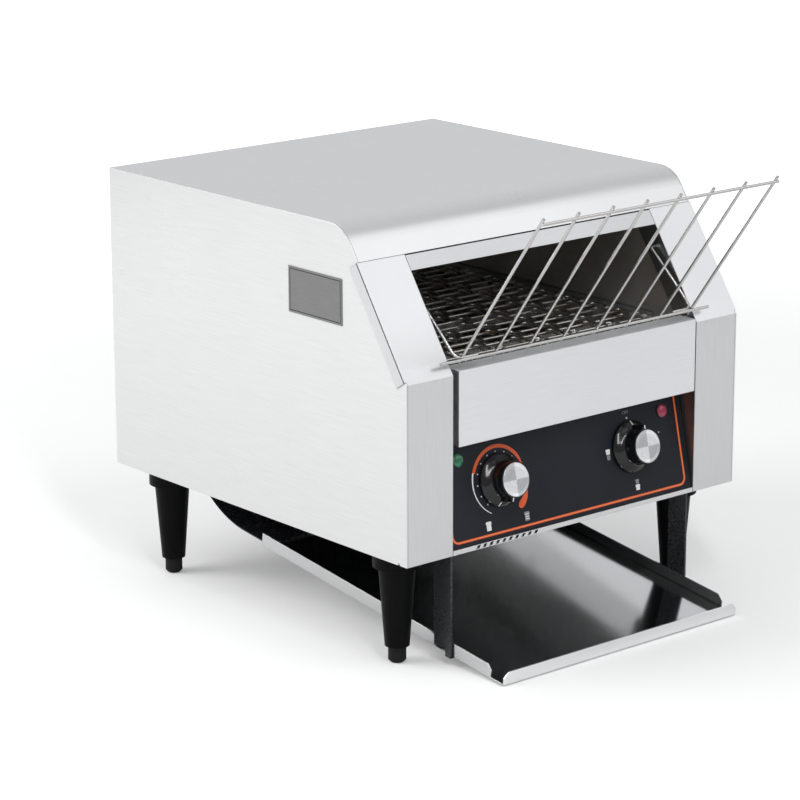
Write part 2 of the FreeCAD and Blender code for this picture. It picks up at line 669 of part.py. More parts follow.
# Conveyor: shafts, sprockets, bushes, rails and the wire belt
def ring_sprocket(name, place, tooth_count, pitch_radius, phase, gullet, tip, bore, width):
    """A toothed disc on a hub, its gullets cut round the pins that it drives."""
    x, y, z = place
    along = ("%s - (%s) / 2" % (x, width), "%s + (%s) / 2" % (x, width))
    disc = rod(name + "_disc", "x", "%s + %s" % (pitch_radius, tip), *along, (y, z))
    gullets = []
    for index in range(int(size(tooth_count))):
        turn = "(%s + %d * 360 deg / %s)" % (phase, index, tooth_count)
        cy = "%s + (%s) * cos(%s)" % (y, pitch_radius, turn)
        cz = "%s + (%s) * sin(%s)" % (z, pitch_radius, turn)
        gullets.append(rod("%s_gullet_%d" % (name, index), "x", gullet,
                           along[0] + " - overrun", along[1] + " + overrun", (cy, cz)))
    toothed = cut(name + "_toothed", disc, gullets)
    boss = rod(name + "_boss", "x", "hub_radius", x + " - hub_width / 2", x + " + hub_width / 2", (y, z))
    hole = rod(name + "_hole", "x", bore, x + " - hub_width", x + " + hub_width", (y, z))
    return cut(name, fuse(name + "_whole", [toothed, boss]), [hole])


def belt_sprockets(name, y):
    made = []
    for index in (-1, 0, 1):
        place = ("%d * 4 * %s / lane_count" % (index, BELT_HALF), y, BELT_Z)
        made.append(ring_sprocket("%s_%d" % (name, index + 1), place,
                                  "tooth_count", "pitch_radius", "0 deg", "wire_radius + gullet_gap",
                                  "sprocket_tip", "shaft_radius", "sprocket_width"))
    node(name, group(name, made))


belt_sprockets("rear_sprockets", REAR_SHAFT_Y)
belt_sprockets("front_sprockets", FRONT_SHAFT_Y)

SHAFT_END = "(%s + bush_flange_width + seat_gap)" % WALL_OUT
node("drive_shaft", rod("drive_shaft", "x", "shaft_radius",
                        "-" + SHAFT_END, CHAIN_PLANE + " + hub_width / 2 + seat_gap",
                        (REAR_SHAFT_Y, BELT_Z)))
node("idler_shaft", rod("idler_shaft", "x", "shaft_radius",
                        "-" + SHAFT_END, SHAFT_END, (FRONT_SHAFT_Y, BELT_Z)))


def bush(name, side, y):
    shank = rod(name + "_shank", "x", "bush_radius",
                *side_span(side, WALL_IN + " - bush_width / 2", WALL_OUT), (y, BELT_Z))
    flange = rod(name + "_flange", "x", "bush_flange",
                 *side_span(side, WALL_OUT, WALL_OUT + " + bush_flange_width"), (y, BELT_Z))
    bore = rod(name + "_bore", "x", "shaft_radius + run_fit",
               *side_span(side, WALL_IN + " - bush_width", WALL_OUT + " + bush_width"), (y, BELT_Z))
    return cut(name, fuse(name + "_whole", [shank, flange]), [bore])


node("shaft_bushes", group("shaft_bushes", [
    bush("bush_%s_%s" % (end, hand), side, y)
    for end, y in (("rear", REAR_SHAFT_Y), ("front", FRONT_SHAFT_Y))
    for hand, side in (("left", -1), ("right", 1))
]))


def belt_rail(name, side):
    """An angle on the inner wall, with the ends of the belt's rods resting on it."""
    inner = WALL_IN + " - rail_reach"
    y = (FRONT_SHAFT_Y + " + bush_flange", REAR_SHAFT_Y + " - bush_flange")
    top = "leg_height + belt_rise - wire_radius * 2 - seat_gap"
    ledge = box(name + "_ledge", side_span(side, inner, WALL_IN), y, (top + " - sheet_gauge", top))
    web = box(name + "_web", side_span(side, WALL_IN + " - sheet_gauge", WALL_IN), y,
              (top + " - rail_depth + pitch_radius / 4", top))
    return fuse(name, [ledge, web])


node("belt_rails", group("belt_rails", [belt_rail("belt_rail_left", -1), belt_rail("belt_rail_right", 1)]))


def jamb():
    """The distance from the middle plane to the opening's sides."""
    return size("body_width") / 2 - size("strip_width")


def wall_in():
    return jamb() + size("sheet_gauge") + size("seat_gap")


def belt_pitch():
    return 2 * size("pitch_radius") * math.sin(math.pi / size("tooth_count"))


def belt_runs():
    return math.floor((size("body_depth") - size("belt_front") - size("belt_rear")) / belt_pitch())


def loop_points(first, last, radius, teeth, pitches):
    """Pin centres round two equal sprockets, from the first one's crown and back to it."""
    reach = math.atan2(last[1] - first[1], last[0] - first[0])
    pitch = 2 * radius * math.sin(math.pi / teeth)
    points = []
    for centre, arrival, crown in ((first, last, reach + math.pi / 2), (last, first, reach - math.pi / 2)):
        y = centre[0] + radius * math.cos(crown)
        z = centre[1] + radius * math.sin(crown)
        ahead = crown - math.pi / 2
        for index in range(pitches):
            points.append((y + index * pitch * math.cos(ahead), z + index * pitch * math.sin(ahead)))
        for index in range(teeth // 2):
            turn = crown - index * 2 * math.pi / teeth
            points.append((arrival[0] + radius * math.cos(turn), arrival[1] + radius * math.sin(turn)))
    return points


def strand(lanes):
    """One rod of the belt along X, with the links that reach forward (+Y) to the next rod."""
    radius = size("wire_radius")
    half = wall_in() - size("belt_side")
    gauge = size("link_gauge")
    pitch = belt_pitch()
    rod_shape = Part.makeCylinder(radius, 2 * half, FreeCAD.Vector(-half, 0, 0), FreeCAD.Vector(1, 0, 0))
    links = []
    for lane in lanes:
        corner = FreeCAD.Vector(lane - size("link_width") / 2, 0, -gauge / 2)
        links.append(Part.makeBox(size("link_width"), pitch - radius - size("seat_gap"), gauge, corner))
    return rod_shape.multiFuse(links).removeSplitter()


def conveyor_belt():
    """Rods joined by links, laid round both shafts with every rod on the sprockets' pitch."""
    lanes = int(size("lane_count"))
    lane_pitch = 2 * (wall_in() - size("belt_side")) / lanes
    even_lanes = [lane_pitch * (index - (lanes - 1) / 2) for index in range(lanes)]
    even = strand(even_lanes)
    odd = strand([lane + size("link_stagger") for lane in even_lanes])
    pitch_radius = size("pitch_radius")
    z = size("leg_height") + size("belt_rise") - size("wire_radius") - pitch_radius
    y_first = -size("body_depth") / 2 + size("belt_front")
    teeth = int(size("tooth_count"))
    runs = belt_runs()
    y_last = y_first + runs * belt_pitch()
    points = loop_points((y_first, z), (y_last, z), pitch_radius, teeth, runs)
    strands = []
    for index, (y, height) in enumerate(points):
        next_y, next_z = points[(index + 1) % len(points)]
        turn = math.degrees(math.atan2(next_z - height, next_y - y))
        shape = (even if index % 2 == 0 else odd).copy()
        shape.Placement = FreeCAD.Placement(FreeCAD.Vector(0, y, height),
                                            FreeCAD.Rotation(FreeCAD.Vector(1, 0, 0), turn))
        strands.append(shape)
    return node("conveyor_belt", solid_feature("conveyor_belt", Part.makeCompound(strands)))


conveyor_belt()


# Chain drive in the right side compartment
CHAIN_RADIUS = "(chain_pitch / (2 * sin(180 / chain_tooth_count)))"
CHAIN_PHASE = "asin(motor_drop / %s)" % CHAIN_SPAN
for label, place, bore in (
    ("chain_sprocket", (CHAIN_PLANE, REAR_SHAFT_Y, BELT_Z), "shaft_radius"),
    ("motor_sprocket", (CHAIN_PLANE, MOTOR_Y, MOTOR_Z), "motor_shaft_radius"),
):
    node(label, ring_sprocket(label, place, "chain_tooth_count", CHAIN_RADIUS, CHAIN_PHASE,
                              "roller_radius + gullet_gap", "sprocket_tip / 2", bore,
                              "roller_width - seat_gap * 3"))
MOTOR_FACE = "(%s - seat_gap)" % WALL_IN
node("motor_shaft", rod("motor_shaft", "x", "motor_shaft_radius", MOTOR_FACE + " - gearbox_length / 2",
                        CHAIN_PLANE + " + hub_width / 2 + seat_gap", (MOTOR_Y, MOTOR_Z)))


def drive_chain():
    """Rollers on the pitch line between two side tracks."""
    pitch = size("chain_pitch")
    teeth = int(size("chain_tooth_count"))
    radius = pitch / (2 * math.sin(math.pi / teeth))
    wire = size("pitch_radius")
    y_last = -size("body_depth") / 2 + size("belt_front") + belt_runs() * belt_pitch()
    z_last = size("leg_height") + size("belt_rise") - size("wire_radius") - wire
    span = size("chain_run_count") * pitch
    y_first = y_last - math.sqrt(span ** 2 - size("motor_drop") ** 2)
    z_first = z_last - size("motor_drop")
    points = loop_points((y_first, z_first), (y_last, z_last), radius, teeth, int(size("chain_run_count")))
    x = wall_in() + size("sheet_gauge") + size("chain_gap")
    half = size("roller_width") / 2
    plate = size("chain_plate")
    parts = []
    for y, z in points:
        parts.append(Part.makeCylinder(size("roller_radius"), 2 * half, FreeCAD.Vector(x - half, y, z),
                                       FreeCAD.Vector(1, 0, 0)))
    reach = math.atan2(z_last - z_first, y_last - y_first)
    for low in (x - half - plate, x + half):
        def track(grow):
            across = FreeCAD.Vector(0, -math.sin(reach), math.cos(reach)) * (radius + grow)
            ahead = FreeCAD.Vector(0, math.cos(reach), math.sin(reach)) * (radius + grow)
            first = FreeCAD.Vector(low, y_first, z_first)
            last = FreeCAD.Vector(low, y_last, z_last)
            edges = [Part.makeLine(first + across, last + across),
                     Part.Arc(last + across, last + ahead, last - across).toShape(),
                     Part.makeLine(last - across, first - across),
                     Part.Arc(first - across, first - ahead, first + across).toShape()]
            return Part.Face(Part.Wire(edges)).extrude(FreeCAD.Vector(plate, 0, 0))
        parts.append(track(size("chain_plate_half")).cut(track(-size("chain_plate_half"))))
    return node("drive_chain", solid_feature("drive_chain", parts[0].multiFuse(parts[1:]).removeSplitter()))


drive_chain()


def gear_motor():
    """A square gearbox against the right inner wall, with its round motor behind it."""
    half = "gearbox_size / 2"
    gearbox = box("gearbox", (MOTOR_FACE + " - gearbox_length", MOTOR_FACE),
                  (MOTOR_Y + " - " + half, MOTOR_Y + " + " + half), (MOTOR_Z + " - gearbox_size * 2 / 3",
                                                                     MOTOR_Z + " + gearbox_size / 3"))
    motor = rod("motor_can", "x", "motor_radius", MOTOR_FACE + " - gearbox_length - motor_length",
                MOTOR_FACE + " - gearbox_length / 2", (MOTOR_Y, MOTOR_Z + " - gearbox_size / 6"))
    bore = rod("motor_bore", "x", "motor_shaft_radius + run_fit",
               MOTOR_FACE + " - gearbox_length / 2 - seat_gap", MOTOR_FACE + " + overrun",
               (MOTOR_Y, MOTOR_Z))
    node("gear_motor", cut("gear_motor", fuse("gear_motor_whole", [gearbox, motor]), [bore]))
    foot = MOTOR_Z + " - gearbox_size * 2 / 3"
    bracket = box("motor_bracket_post", (MOTOR_FACE + " - gearbox_length", MOTOR_FACE + " - seat_gap"),
                  (MOTOR_Y + " - " + half, MOTOR_Y + " + " + half), (BASE + " + sheet_gauge", foot))
    window = box("motor_bracket_window",
                 (MOTOR_FACE + " - gearbox_length - overrun", MOTOR_FACE + " + overrun"),
                 (MOTOR_Y + " - gearbox_size / 2 + motor_flange",
                  MOTOR_Y + " + gearbox_size / 2 - motor_flange"),
                 (BASE + " + sheet_gauge + motor_flange / 2", foot + " - motor_flange / 2"))
    node("motor_bracket", cut("motor_bracket", bracket, [window]))


gear_motor()


# Heaters: quartz tubes in ceramic rings, with the shields behind them
def heaters(name, upper):
    tubes = []
    rings = []
    for index, y, high, low in heater_places():
        z = high if upper else low
        reach = WALL_OUT + " + cap_ring_width / 4"
        tubes.append(rod("%s_tube_%d" % (name, index), "x", "heater_radius", "-(%s)" % reach, reach, (y, z)))
        for side in (-1, 1):
            ends = side_span(side, WALL_OUT + " - cap_ring_width / 2", WALL_OUT + " + cap_ring_width / 2")
            tag = "%s_ring_%d_%d" % (name, index, side + 1)
            ring = rod(tag + "_body", "x", "cap_ring_radius", *ends, (y, z))
            socket = rod(tag + "_socket", "x", "heater_radius",
                         *side_span(side, WALL_OUT + " - cap_ring_width", reach), (y, z))
            rings.append(cut(tag, ring, [socket]))
    node(name + "_heaters", group(name + "_heaters", tubes))
    node(name + "_heater_holders", group(name + "_heater_holders", rings))


heaters("upper", True)
heaters("lower", False)


def upper_reflector():
    """A shallow hood over the upper tubes, turned down at the front and the rear."""
    front = FRONT + " + reflector_front"
    rear = REAR + " - reflector_rear"
    roof = TOP + " - reflector_fall"
    drop = "reflector_drop"
    points = [
        (front, roof + " - " + drop), (front + " + " + drop, roof), (rear + " - " + drop, roof),
        (rear, roof + " - " + drop), (rear, roof + " - %s + sheet_gauge * 2" % drop),
        (rear + " - " + drop, roof + " + sheet_gauge"), (front + " + " + drop, roof + " + sheet_gauge"),
        (front, roof + " - %s + sheet_gauge * 2" % drop),
    ]
    node("upper_reflector", profile("upper_reflector", "YZ_Plane", points, "-" + WALL_IN, WALL_IN))


upper_reflector()


def lower_shield():
    """The heat shield between the belt and the works, hung on the drop shaft's wall."""
    z = BASE + " + lower_shield_rise"
    reach = WALL_IN
    sheet_part = box("lower_shield_sheet", ("-" + reach, reach),
                     (FRONT + " + jamb_depth + sheet_gauge * 2", FRONT + " + " + BASE_REACH),
                     (z, z + " + sheet_gauge"))
    lip = box("lower_shield_lip", ("-" + reach, reach),
              (FRONT + " + %s - sheet_gauge" % BASE_REACH, FRONT + " + " + BASE_REACH),
              (BASE + " + shaft_wall_height", z + " + sheet_gauge"))
    node("lower_shield", fuse("lower_shield", [sheet_part, lip]))


lower_shield()


# Cooling fan on the floor, and the terminal block
def fan():
    across, along = fan_centre()
    low = BASE + " + sheet_gauge"
    frame = box("fan_case", (across + " - fan_size / 2", across + " + fan_size / 2"),
                (along + " - fan_size / 2", along + " + fan_size / 2"), (low, low + " + fan_depth"))
    bore = rod("fan_throat", "z", "fan_bore",
               low + " - overrun", low + " + fan_depth + overrun", (across, along))
    ring = cut("fan_ring", frame, [bore])
    cup = rod("fan_cup", "z", "fan_hub_radius", low, low + " + strut_width / 2", (across, along))
    pin = rod("fan_pin", "z", "spindle_radius / 2", low, low + " + fan_depth / 2", (across, along))
    struts = [
        box("fan_strut_x",
            (across + " - fan_bore - strut_width / 2", across + " + fan_bore + strut_width / 2"),
            (along + " - strut_width / 2", along + " + strut_width / 2"),
            (low, low + " + strut_width / 2")),
        box("fan_strut_y", (across + " - strut_width / 2", across + " + strut_width / 2"),
            (along + " - fan_bore - strut_width / 2", along + " + fan_bore + strut_width / 2"),
            (low, low + " + strut_width / 2")),
    ]
    node("fan_frame", fuse("fan_frame", [ring, cup, pin] + struts))
    start = low + " + strut_width"
    hub = rod("fan_hub", "z", "fan_hub_radius",
              start, low + " + fan_depth - strut_width / 2", (across, along))
    blades = []
    for index in range(int(size("blade_count"))):
        blade = doc.addObject("Part::Box", "fan_blade_%d" % index)
        blade.setExpression("Length", bound("fan_bore - fan_hub_radius / 2 - seat_gap * 4"))
        blade.setExpression("Width", bound("blade_gauge"))
        blade.setExpression("Height", bound("fan_depth - strut_width * 2"))
        turn = FreeCAD.Rotation(FreeCAD.Vector(0, 0, 1), 360.0 * index / size("blade_count"))
        pitched = turn.multiply(FreeCAD.Rotation(FreeCAD.Vector(1, 0, 0), size("blade_angle")))
        blade.Placement = FreeCAD.Placement(FreeCAD.Vector(), pitched)
        reach = turn.multVec(FreeCAD.Vector(1, 0, 0))
        stand(blade, "%s + %f * fan_hub_radius / 2" % (across, reach.x),
              "%s + %f * fan_hub_radius / 2" % (along, reach.y), start + " + strut_width / 4")
        blades.append(blade)
    hole = rod("fan_hub_hole", "z", "spindle_radius / 2 + run_fit", low, low + " + fan_depth / 2 + seat_gap",
               (across, along))
    node("fan_rotor", cut("fan_rotor", fuse("fan_rotor_whole", [hub] + blades), [hole]))


fan()

node("terminal_block", box("terminal_block",
                           ("block_across - block_width / 2", "block_across + block_width / 2"),
                           (FRONT + " + %s - block_from_wall - block_depth / 2" % BASE_REACH,
                            FRONT + " + %s - block_from_wall + block_depth / 2" % BASE_REACH),
                           (BASE + " + sheet_gauge", BASE + " + sheet_gauge + block_height")))


def cord_gland():
    """The strain-relief nut in the rear panel. Its cord isn't part of the model."""
    place = (SIDE + " - gland_inset", BASE + " + gland_lift")
    nut = rod("gland_nut", "y", "gland_radius", REAR, REAR + " + gland_proud", place)
    shank = rod("gland_body", "y", "gland_shank", REAR + " - gland_proud", REAR, place)
    bore = rod("gland_hollow", "y", "gland_bore",
               REAR + " - gland_proud - overrun", REAR + " + gland_proud + overrun", place)
    node("cord_gland", cut("cord_gland", fuse("gland_whole", [nut, shank]), [bore]))


cord_gland()


# Legs with levelling feet
def leg(name, x, y):
    body = turned(name + "_turned", [
        ("stem_radius + run_fit", "foot_height + seat_gap"), ("leg_foot_radius", "foot_height + seat_gap"),
        ("leg_top_radius", "leg_height - leg_head_height"),
        ("leg_head_radius", "leg_height - leg_head_height"),
        ("leg_head_radius", "leg_height"), ("stud_radius", "leg_height"),
        ("stud_radius", "leg_height + stud_height"), ("0", "leg_height + stud_height"),
        ("0", "foot_height + stem_height + seat_gap * 2"),
        ("stem_radius + run_fit", "foot_height + stem_height + seat_gap * 2"),
    ])
    return stand(body, x, y, "0")


def foot(name, x, y):
    body = turned(name, [
        ("0", "0"), ("foot_radius - foot_chamfer", "0"), ("foot_radius", "foot_chamfer"),
        ("foot_radius", "foot_height"), ("stem_radius", "foot_height"),
        ("stem_radius", "foot_height + stem_height"), ("0", "foot_height + stem_height"),
    ])
    return node(name, stand(body, x, y, "0"))


def leg_nut(name, x, y):
    """A hexagon nut on the stud, over the side panel's hem."""
    nut = doc.addObject("Part::Prism", name + "_hexagon")
    nut.Polygon = 6
    nut.setExpression("Circumradius", bound("nut_radius"))
    nut.setExpression("Height", bound("nut_height"))
    stand(nut, x, y, BASE + " + sheet_gauge")
    hole = rod(name + "_bore", "z", "stud_radius", BASE, BASE + " + stud_height * 2", (x, y))
    return cut(name, nut, [hole])


legs = []
nuts = []
for side, end, x, y in LEG_PLACES:
    tag = "%s_%s" % ("front" if end < 0 else "rear", "left" if side < 0 else "right")
    legs.append(leg("leg_" + tag, x, y))
    nuts.append(leg_nut("nut_" + tag, x, y))
    foot("foot_" + tag, x, y)
node("legs", group("legs", legs))
node("leg_nuts", group("leg_nuts", nuts))


# Chute: one curved sheet from the rear panel down to the tray
def bent_sheet(points, radii, gauge, half_width):
    """A sheet of even gauge along a path of straight runs and tangent bends, extruded along X."""
    path = []
    start = points[0]
    for index in range(1, len(points) - 1):
        before = (points[index - 1] - points[index]).normalize()
        after = (points[index + 1] - points[index]).normalize()
        half_angle = before.getAngle(after) / 2
        setback = radii[index - 1] / math.tan(half_angle)
        enter = points[index] + before * setback
        leave = points[index] + after * setback
        middle = (before + after).normalize() * (radii[index - 1] / math.sin(half_angle) - radii[index - 1])
        path.append(Part.makeLine(start, enter))
        path.append(Part.Arc(enter, points[index] + middle, leave).toShape())
        start = leave
    path.append(Part.makeLine(start, points[-1]))
    face = Part.Wire(path).makeOffset2D(gauge, 2, True, True)
    reach = FreeCAD.Vector(2 * half_width, 0, 0)
    return face.extrude(reach)


def tray_point(reach, rise):
    """A point on the tray's slope: along it from its front end, and square above it, in Y and Z."""
    slope = math.radians(size("tray_slope_angle"))
    y = -size("body_depth") / 2 + size("tray_front") + reach * math.cos(slope) - rise * math.sin(slope)
    z = size("tray_clear") + reach * math.sin(slope) + rise * math.cos(slope)
    return y, z


def chute():
    """One bent sheet: a lip over the tray, the long bend, the shaft's rear wall and its top flange."""
    half = jamb() - size("chute_side")
    gauge = size("sheet_gauge")
    length = size("body_depth") - size("tray_short")
    slope = math.radians(size("tray_slope_angle"))
    y, z = tray_point(length - size("chute_lap"), size("tray_gauge") + size("chute_clear"))
    start = FreeCAD.Vector(-half, y, z)
    y_wall = size("body_depth") / 2 - size("chute_rear")
    y_flange = size("body_depth") / 2 - gauge * 2 - size("seat_gap")
    z_jog = size("leg_height") + size("chute_rise")
    corner = FreeCAD.Vector(-half, y_wall, z + (y_wall - y) * math.tan(slope))
    jog = FreeCAD.Vector(-half, y_wall, z_jog)
    landing = FreeCAD.Vector(-half, y_flange, z_jog + y_flange - y_wall)
    top = landing + FreeCAD.Vector(0, 0, size("chute_flange"))
    radii = [size("chute_radius"), size("chute_fold"), size("chute_fold")]
    sheet_shape = bent_sheet([start, corner, jog, landing, top], radii, gauge, half)
    tabs = []
    for side in (-1, 1):
        x = side * size("cradle_across") - size("cradle_width") / 2
        web = Part.makeBox(size("cradle_width"), size("chute_lap"),
                           size("tray_gauge") + size("seat_gap") * 10,
                           FreeCAD.Vector(x, length + size("seat_gap"), -gauge - size("seat_gap")))
        shelf = Part.makeBox(size("cradle_width"), size("cradle_reach") + size("chute_lap"), gauge,
                             FreeCAD.Vector(x, length - size("cradle_reach") + size("seat_gap"),
                                            -gauge - size("seat_gap")))
        tab = web.fuse(shelf)
        y_front, z_front = tray_point(0, 0)
        tab.Placement = FreeCAD.Placement(FreeCAD.Vector(0, y_front, z_front),
                                          FreeCAD.Rotation(FreeCAD.Vector(1, 0, 0), size("tray_slope_angle")))
        tabs.append(tab)
    return node("chute", solid_feature("chute", sheet_shape.multiFuse(tabs).removeSplitter()))


chute()


# Collection tray, drawn flat and then leant back on its slope
def collection_tray():
    half = "(%s - tray_side)" % JAMB
    floor = box("tray_floor", ("-" + half, half), ("0", TRAY_LENGTH), ("0", "tray_gauge"))
    parts = [floor]
    for side in (-1, 1):
        parts.append(profile("tray_wall_%d" % (side + 1), "YZ_Plane", [
            ("tray_notch", "0"), (TRAY_LENGTH, "0"), (TRAY_LENGTH, "tray_wall"),
            ("tray_notch + tray_corner", "tray_wall"), ("tray_notch", "tray_wall - tray_corner"),
        ], *side_span(side, half + " - tray_gauge", half)))
    lip = profile("tray_lip", "XZ_Plane", [
        ("-" + half, "0"), (half, "0"),
        (half, "tray_wall - tray_corner"), (half + " - tray_corner", "tray_wall"),
        ("-%s + tray_corner" % half, "tray_wall"), ("-" + half, "tray_wall - tray_corner"),
    ], "-tray_gauge", "0")
    parts.append(lip)
    under = box("tray_lip_root", ("-" + half, half), ("-tray_gauge", "tray_gauge"), ("0", "tray_gauge"))
    parts.append(under)
    tray = lean(fuse("collection_tray", parts), "tray_slope_angle")
    node("collection_tray", stand(tray, "0", FRONT + " + tray_front", "tray_clear"))


collection_tray()


def tray_hanger(name, side):
    """A strap from the floor plate down outside the tray, with a narrow toe turned in under the tray."""
    inner = "(%s - tray_side + seat_gap)" % JAMB
    outer = "(%s + hanger_gauge)" % inner
    y = (FRONT + " + hanger_from_front", FRONT + " + hanger_from_front + hanger_width")
    neck_y = (FRONT + " + hanger_from_front", FRONT + " + hanger_from_front + hanger_neck")
    root = "(hanger_from_front - tray_front) * tan(tray_slope_angle)"
    strap = box(name + "_strap", side_span(side, inner, outer), y, ("hanger_lift", BASE))
    neck = box(name + "_neck", side_span(side, inner, outer), neck_y,
               ("tray_clear + %s - seat_gap * 2 - hanger_gauge / 2" % root, "hanger_lift + hanger_gauge"))
    head = box(name + "_head", side_span(side, inner + " - hanger_foot", outer), y,
               (BASE + " - hanger_gauge", BASE))
    along = ("(hanger_from_front - tray_front) / cos(tray_slope_angle)",
             "(hanger_from_front - tray_front + hanger_neck) / cos(tray_slope_angle)")
    toe = fuse(name + "_toe", [
        box(name + "_toe_flat", side_span(side, inner + " - hanger_foot", outer), along,
            ("-hanger_gauge - seat_gap", "-seat_gap")),
        box(name + "_toe_core", side_span(side, inner, outer), along,
            ("-hanger_gauge - seat_gap", "hanger_gauge")),
    ])
    stand(lean(toe, "tray_slope_angle"), "0", FRONT + " + tray_front", "tray_clear")
    return fuse(name, [strap, neck, head, toe])


node("tray_hangers", group("tray_hangers", [tray_hanger("hanger_left", -1), tray_hanger("hanger_right", 1)]))


# Wire rack: two rods, the wires between them and the arms that hang it in the jambs
def wire_rack():
    radius = size("rack_wire")
    lean_angle = math.radians(size("rack_lean_angle"))
    up = FreeCAD.Vector(0, -math.sin(lean_angle), math.cos(lean_angle))
    face = FreeCAD.Vector(0, -math.cos(lean_angle), -math.sin(lean_angle))
    front = -size("body_depth") / 2
    fold = size("leg_height") + size("fold_rise")
    foot_point = FreeCAD.Vector(0, front + size("rack_foot_y"), fold + size("rack_foot_lift"))
    crown = foot_point + up * size("rack_length")
    along = FreeCAD.Vector(1, 0, 0)
    half = jamb() + size("rack_lap")
    count = int(size("rack_wire_count"))
    span = 2 * (jamb() - size("rack_side"))
    parts = [
        Part.makeCylinder(radius, 2 * half, foot_point - along * half, along),
        Part.makeCylinder(radius, span + 2 * radius, crown - along * (span / 2 + radius), along),
    ]
    for index in range(count):
        x = along * span * (index / (count - 1) - 0.5)
        start = foot_point + x - up * size("rack_tail") - face * 2 * radius * size("weld_share")
        wire = size("rack_length") + size("rack_tail") + size("rack_horn")
        parts.append(Part.makeCylinder(radius, wire, start, up))
    slope = math.radians(size("slope_angle"))
    reach = (size("body_height") - size("fold_rise")) / math.cos(slope)
    reach -= size("seam_drop") + size("pivot_drop")
    inset = size("pivot_inset")
    pivot = FreeCAD.Vector(0, front + reach * math.sin(slope) + inset * math.cos(slope),
                           fold + reach * math.cos(slope) - inset * math.sin(slope))
    straight = pivot - foot_point
    arm = jamb() - size("arm_gap")
    end = wall_in() + size("sheet_gauge") + size("seat_gap") * 2
    for side in (-1, 1):
        x = along * (side * arm)
        parts.append(Part.makeCylinder(radius, straight.Length, foot_point + x, straight))
        parts.append(Part.makeSphere(radius, pivot + x))
        parts.append(Part.makeCylinder(radius, end - arm, pivot + x, along * side))
    return node("wire_rack", solid_feature("wire_rack", parts[0].multiFuse(parts[1:])))


wire_rack()


# Screws: pan heads on the rear panel, the sides and the foot of the front frame
def screw(name, axis, low, place):
    """The head of one pan-head screw, standing on a skin."""
    return rod(name, axis, "screw_head", low, low + " + screw_rise", place)


screws = []
for side in (-1, 1):
    for row, lift in enumerate(("screw_inset", "body_height / 2", "body_height - screw_inset * 2")):
        place = ("%d * (%s - screw_inset)" % (side, SIDE), "%s + %s" % (BASE, lift))
        screws.append(screw("rear_screw_%d_%d" % (side + 1, row), "y", REAR, place))
    for row, reach in enumerate(("screw_inset * 2", "body_depth / 2", "body_depth - screw_inset * 2")):
        place = ("%d * (%s + screw_inset)" % (side, JAMB), "%s + %s" % (FRONT, reach))
        screws.append(screw("hem_screw_%d_%d" % (side + 1, row), "z", BASE + " - screw_rise", place))
node("housing_screws", group("housing_screws", screws))


# Every object has to be sound before anything is written
doc.recompute()
faults = [item.Name for item in doc.Objects if "Invalid" in item.State or "Error" in item.State]
for name, thing in nodes.items():
    if thing.Shape.isNull() or not thing.Shape.isValid() or not thing.Shape.Solids:
        faults.append(name)
if faults:
    raise RuntimeError("failed objects: " + ", ".join(faults))

os.makedirs("parts", exist_ok=True)
for name, thing in nodes.items():
    thing.Shape.exportStep(os.path.join("parts", name + ".step"))
triangles = sum(len(thing.Shape.tessellate(0.1)[1]) for thing in nodes.values())
print(len(nodes), "nodes,", triangles, "triangles")
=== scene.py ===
import json
import math

import bmesh
import bpy
from mathutils import Matrix, Vector


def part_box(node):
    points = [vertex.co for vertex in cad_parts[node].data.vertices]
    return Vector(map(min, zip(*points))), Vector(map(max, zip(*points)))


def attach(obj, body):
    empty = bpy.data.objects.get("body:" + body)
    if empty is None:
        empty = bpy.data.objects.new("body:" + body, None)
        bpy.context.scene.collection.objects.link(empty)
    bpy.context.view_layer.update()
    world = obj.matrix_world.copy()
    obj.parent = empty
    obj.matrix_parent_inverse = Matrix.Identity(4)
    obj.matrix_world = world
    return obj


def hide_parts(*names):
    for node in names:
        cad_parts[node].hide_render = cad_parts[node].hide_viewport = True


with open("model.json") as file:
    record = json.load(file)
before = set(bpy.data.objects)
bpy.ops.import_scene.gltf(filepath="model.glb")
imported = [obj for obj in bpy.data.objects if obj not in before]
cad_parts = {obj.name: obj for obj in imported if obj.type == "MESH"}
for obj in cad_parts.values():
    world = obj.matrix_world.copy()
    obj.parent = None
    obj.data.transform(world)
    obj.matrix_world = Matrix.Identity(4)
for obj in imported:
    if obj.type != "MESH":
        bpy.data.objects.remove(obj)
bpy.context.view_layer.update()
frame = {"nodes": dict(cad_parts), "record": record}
cadNodes = frame["nodes"]
mm = 0.001
print("frame loaded with", len(cadNodes), "nodes")


# camera, fitted to the photograph
camera = {
    "place": (-1.8079, -2.108, 0.9260),
    "azimuth": -40.21,
    "elevation": 15.18,
    "roll": -0.17,
    "lens": 138.87,
}
lensData = bpy.data.cameras.new("photoCamera")
lensData.lens = camera["lens"]
lensData.sensor_width = 36
lensData.clip_end = 30
viewer = bpy.data.objects.new("photoCamera", lensData)
viewer.matrix_world = (Matrix.Translation(camera["place"])
                       @ Matrix.Rotation(math.radians(camera["azimuth"]), 4, "Z")
                       @ Matrix.Rotation(math.radians(90 - camera["elevation"]), 4, "X")
                       @ Matrix.Rotation(math.radians(camera["roll"]), 4, "Z"))
bpy.context.scene.collection.objects.link(viewer)
bpy.context.scene.camera = viewer
bpy.context.scene.view_settings.view_transform = "Standard"


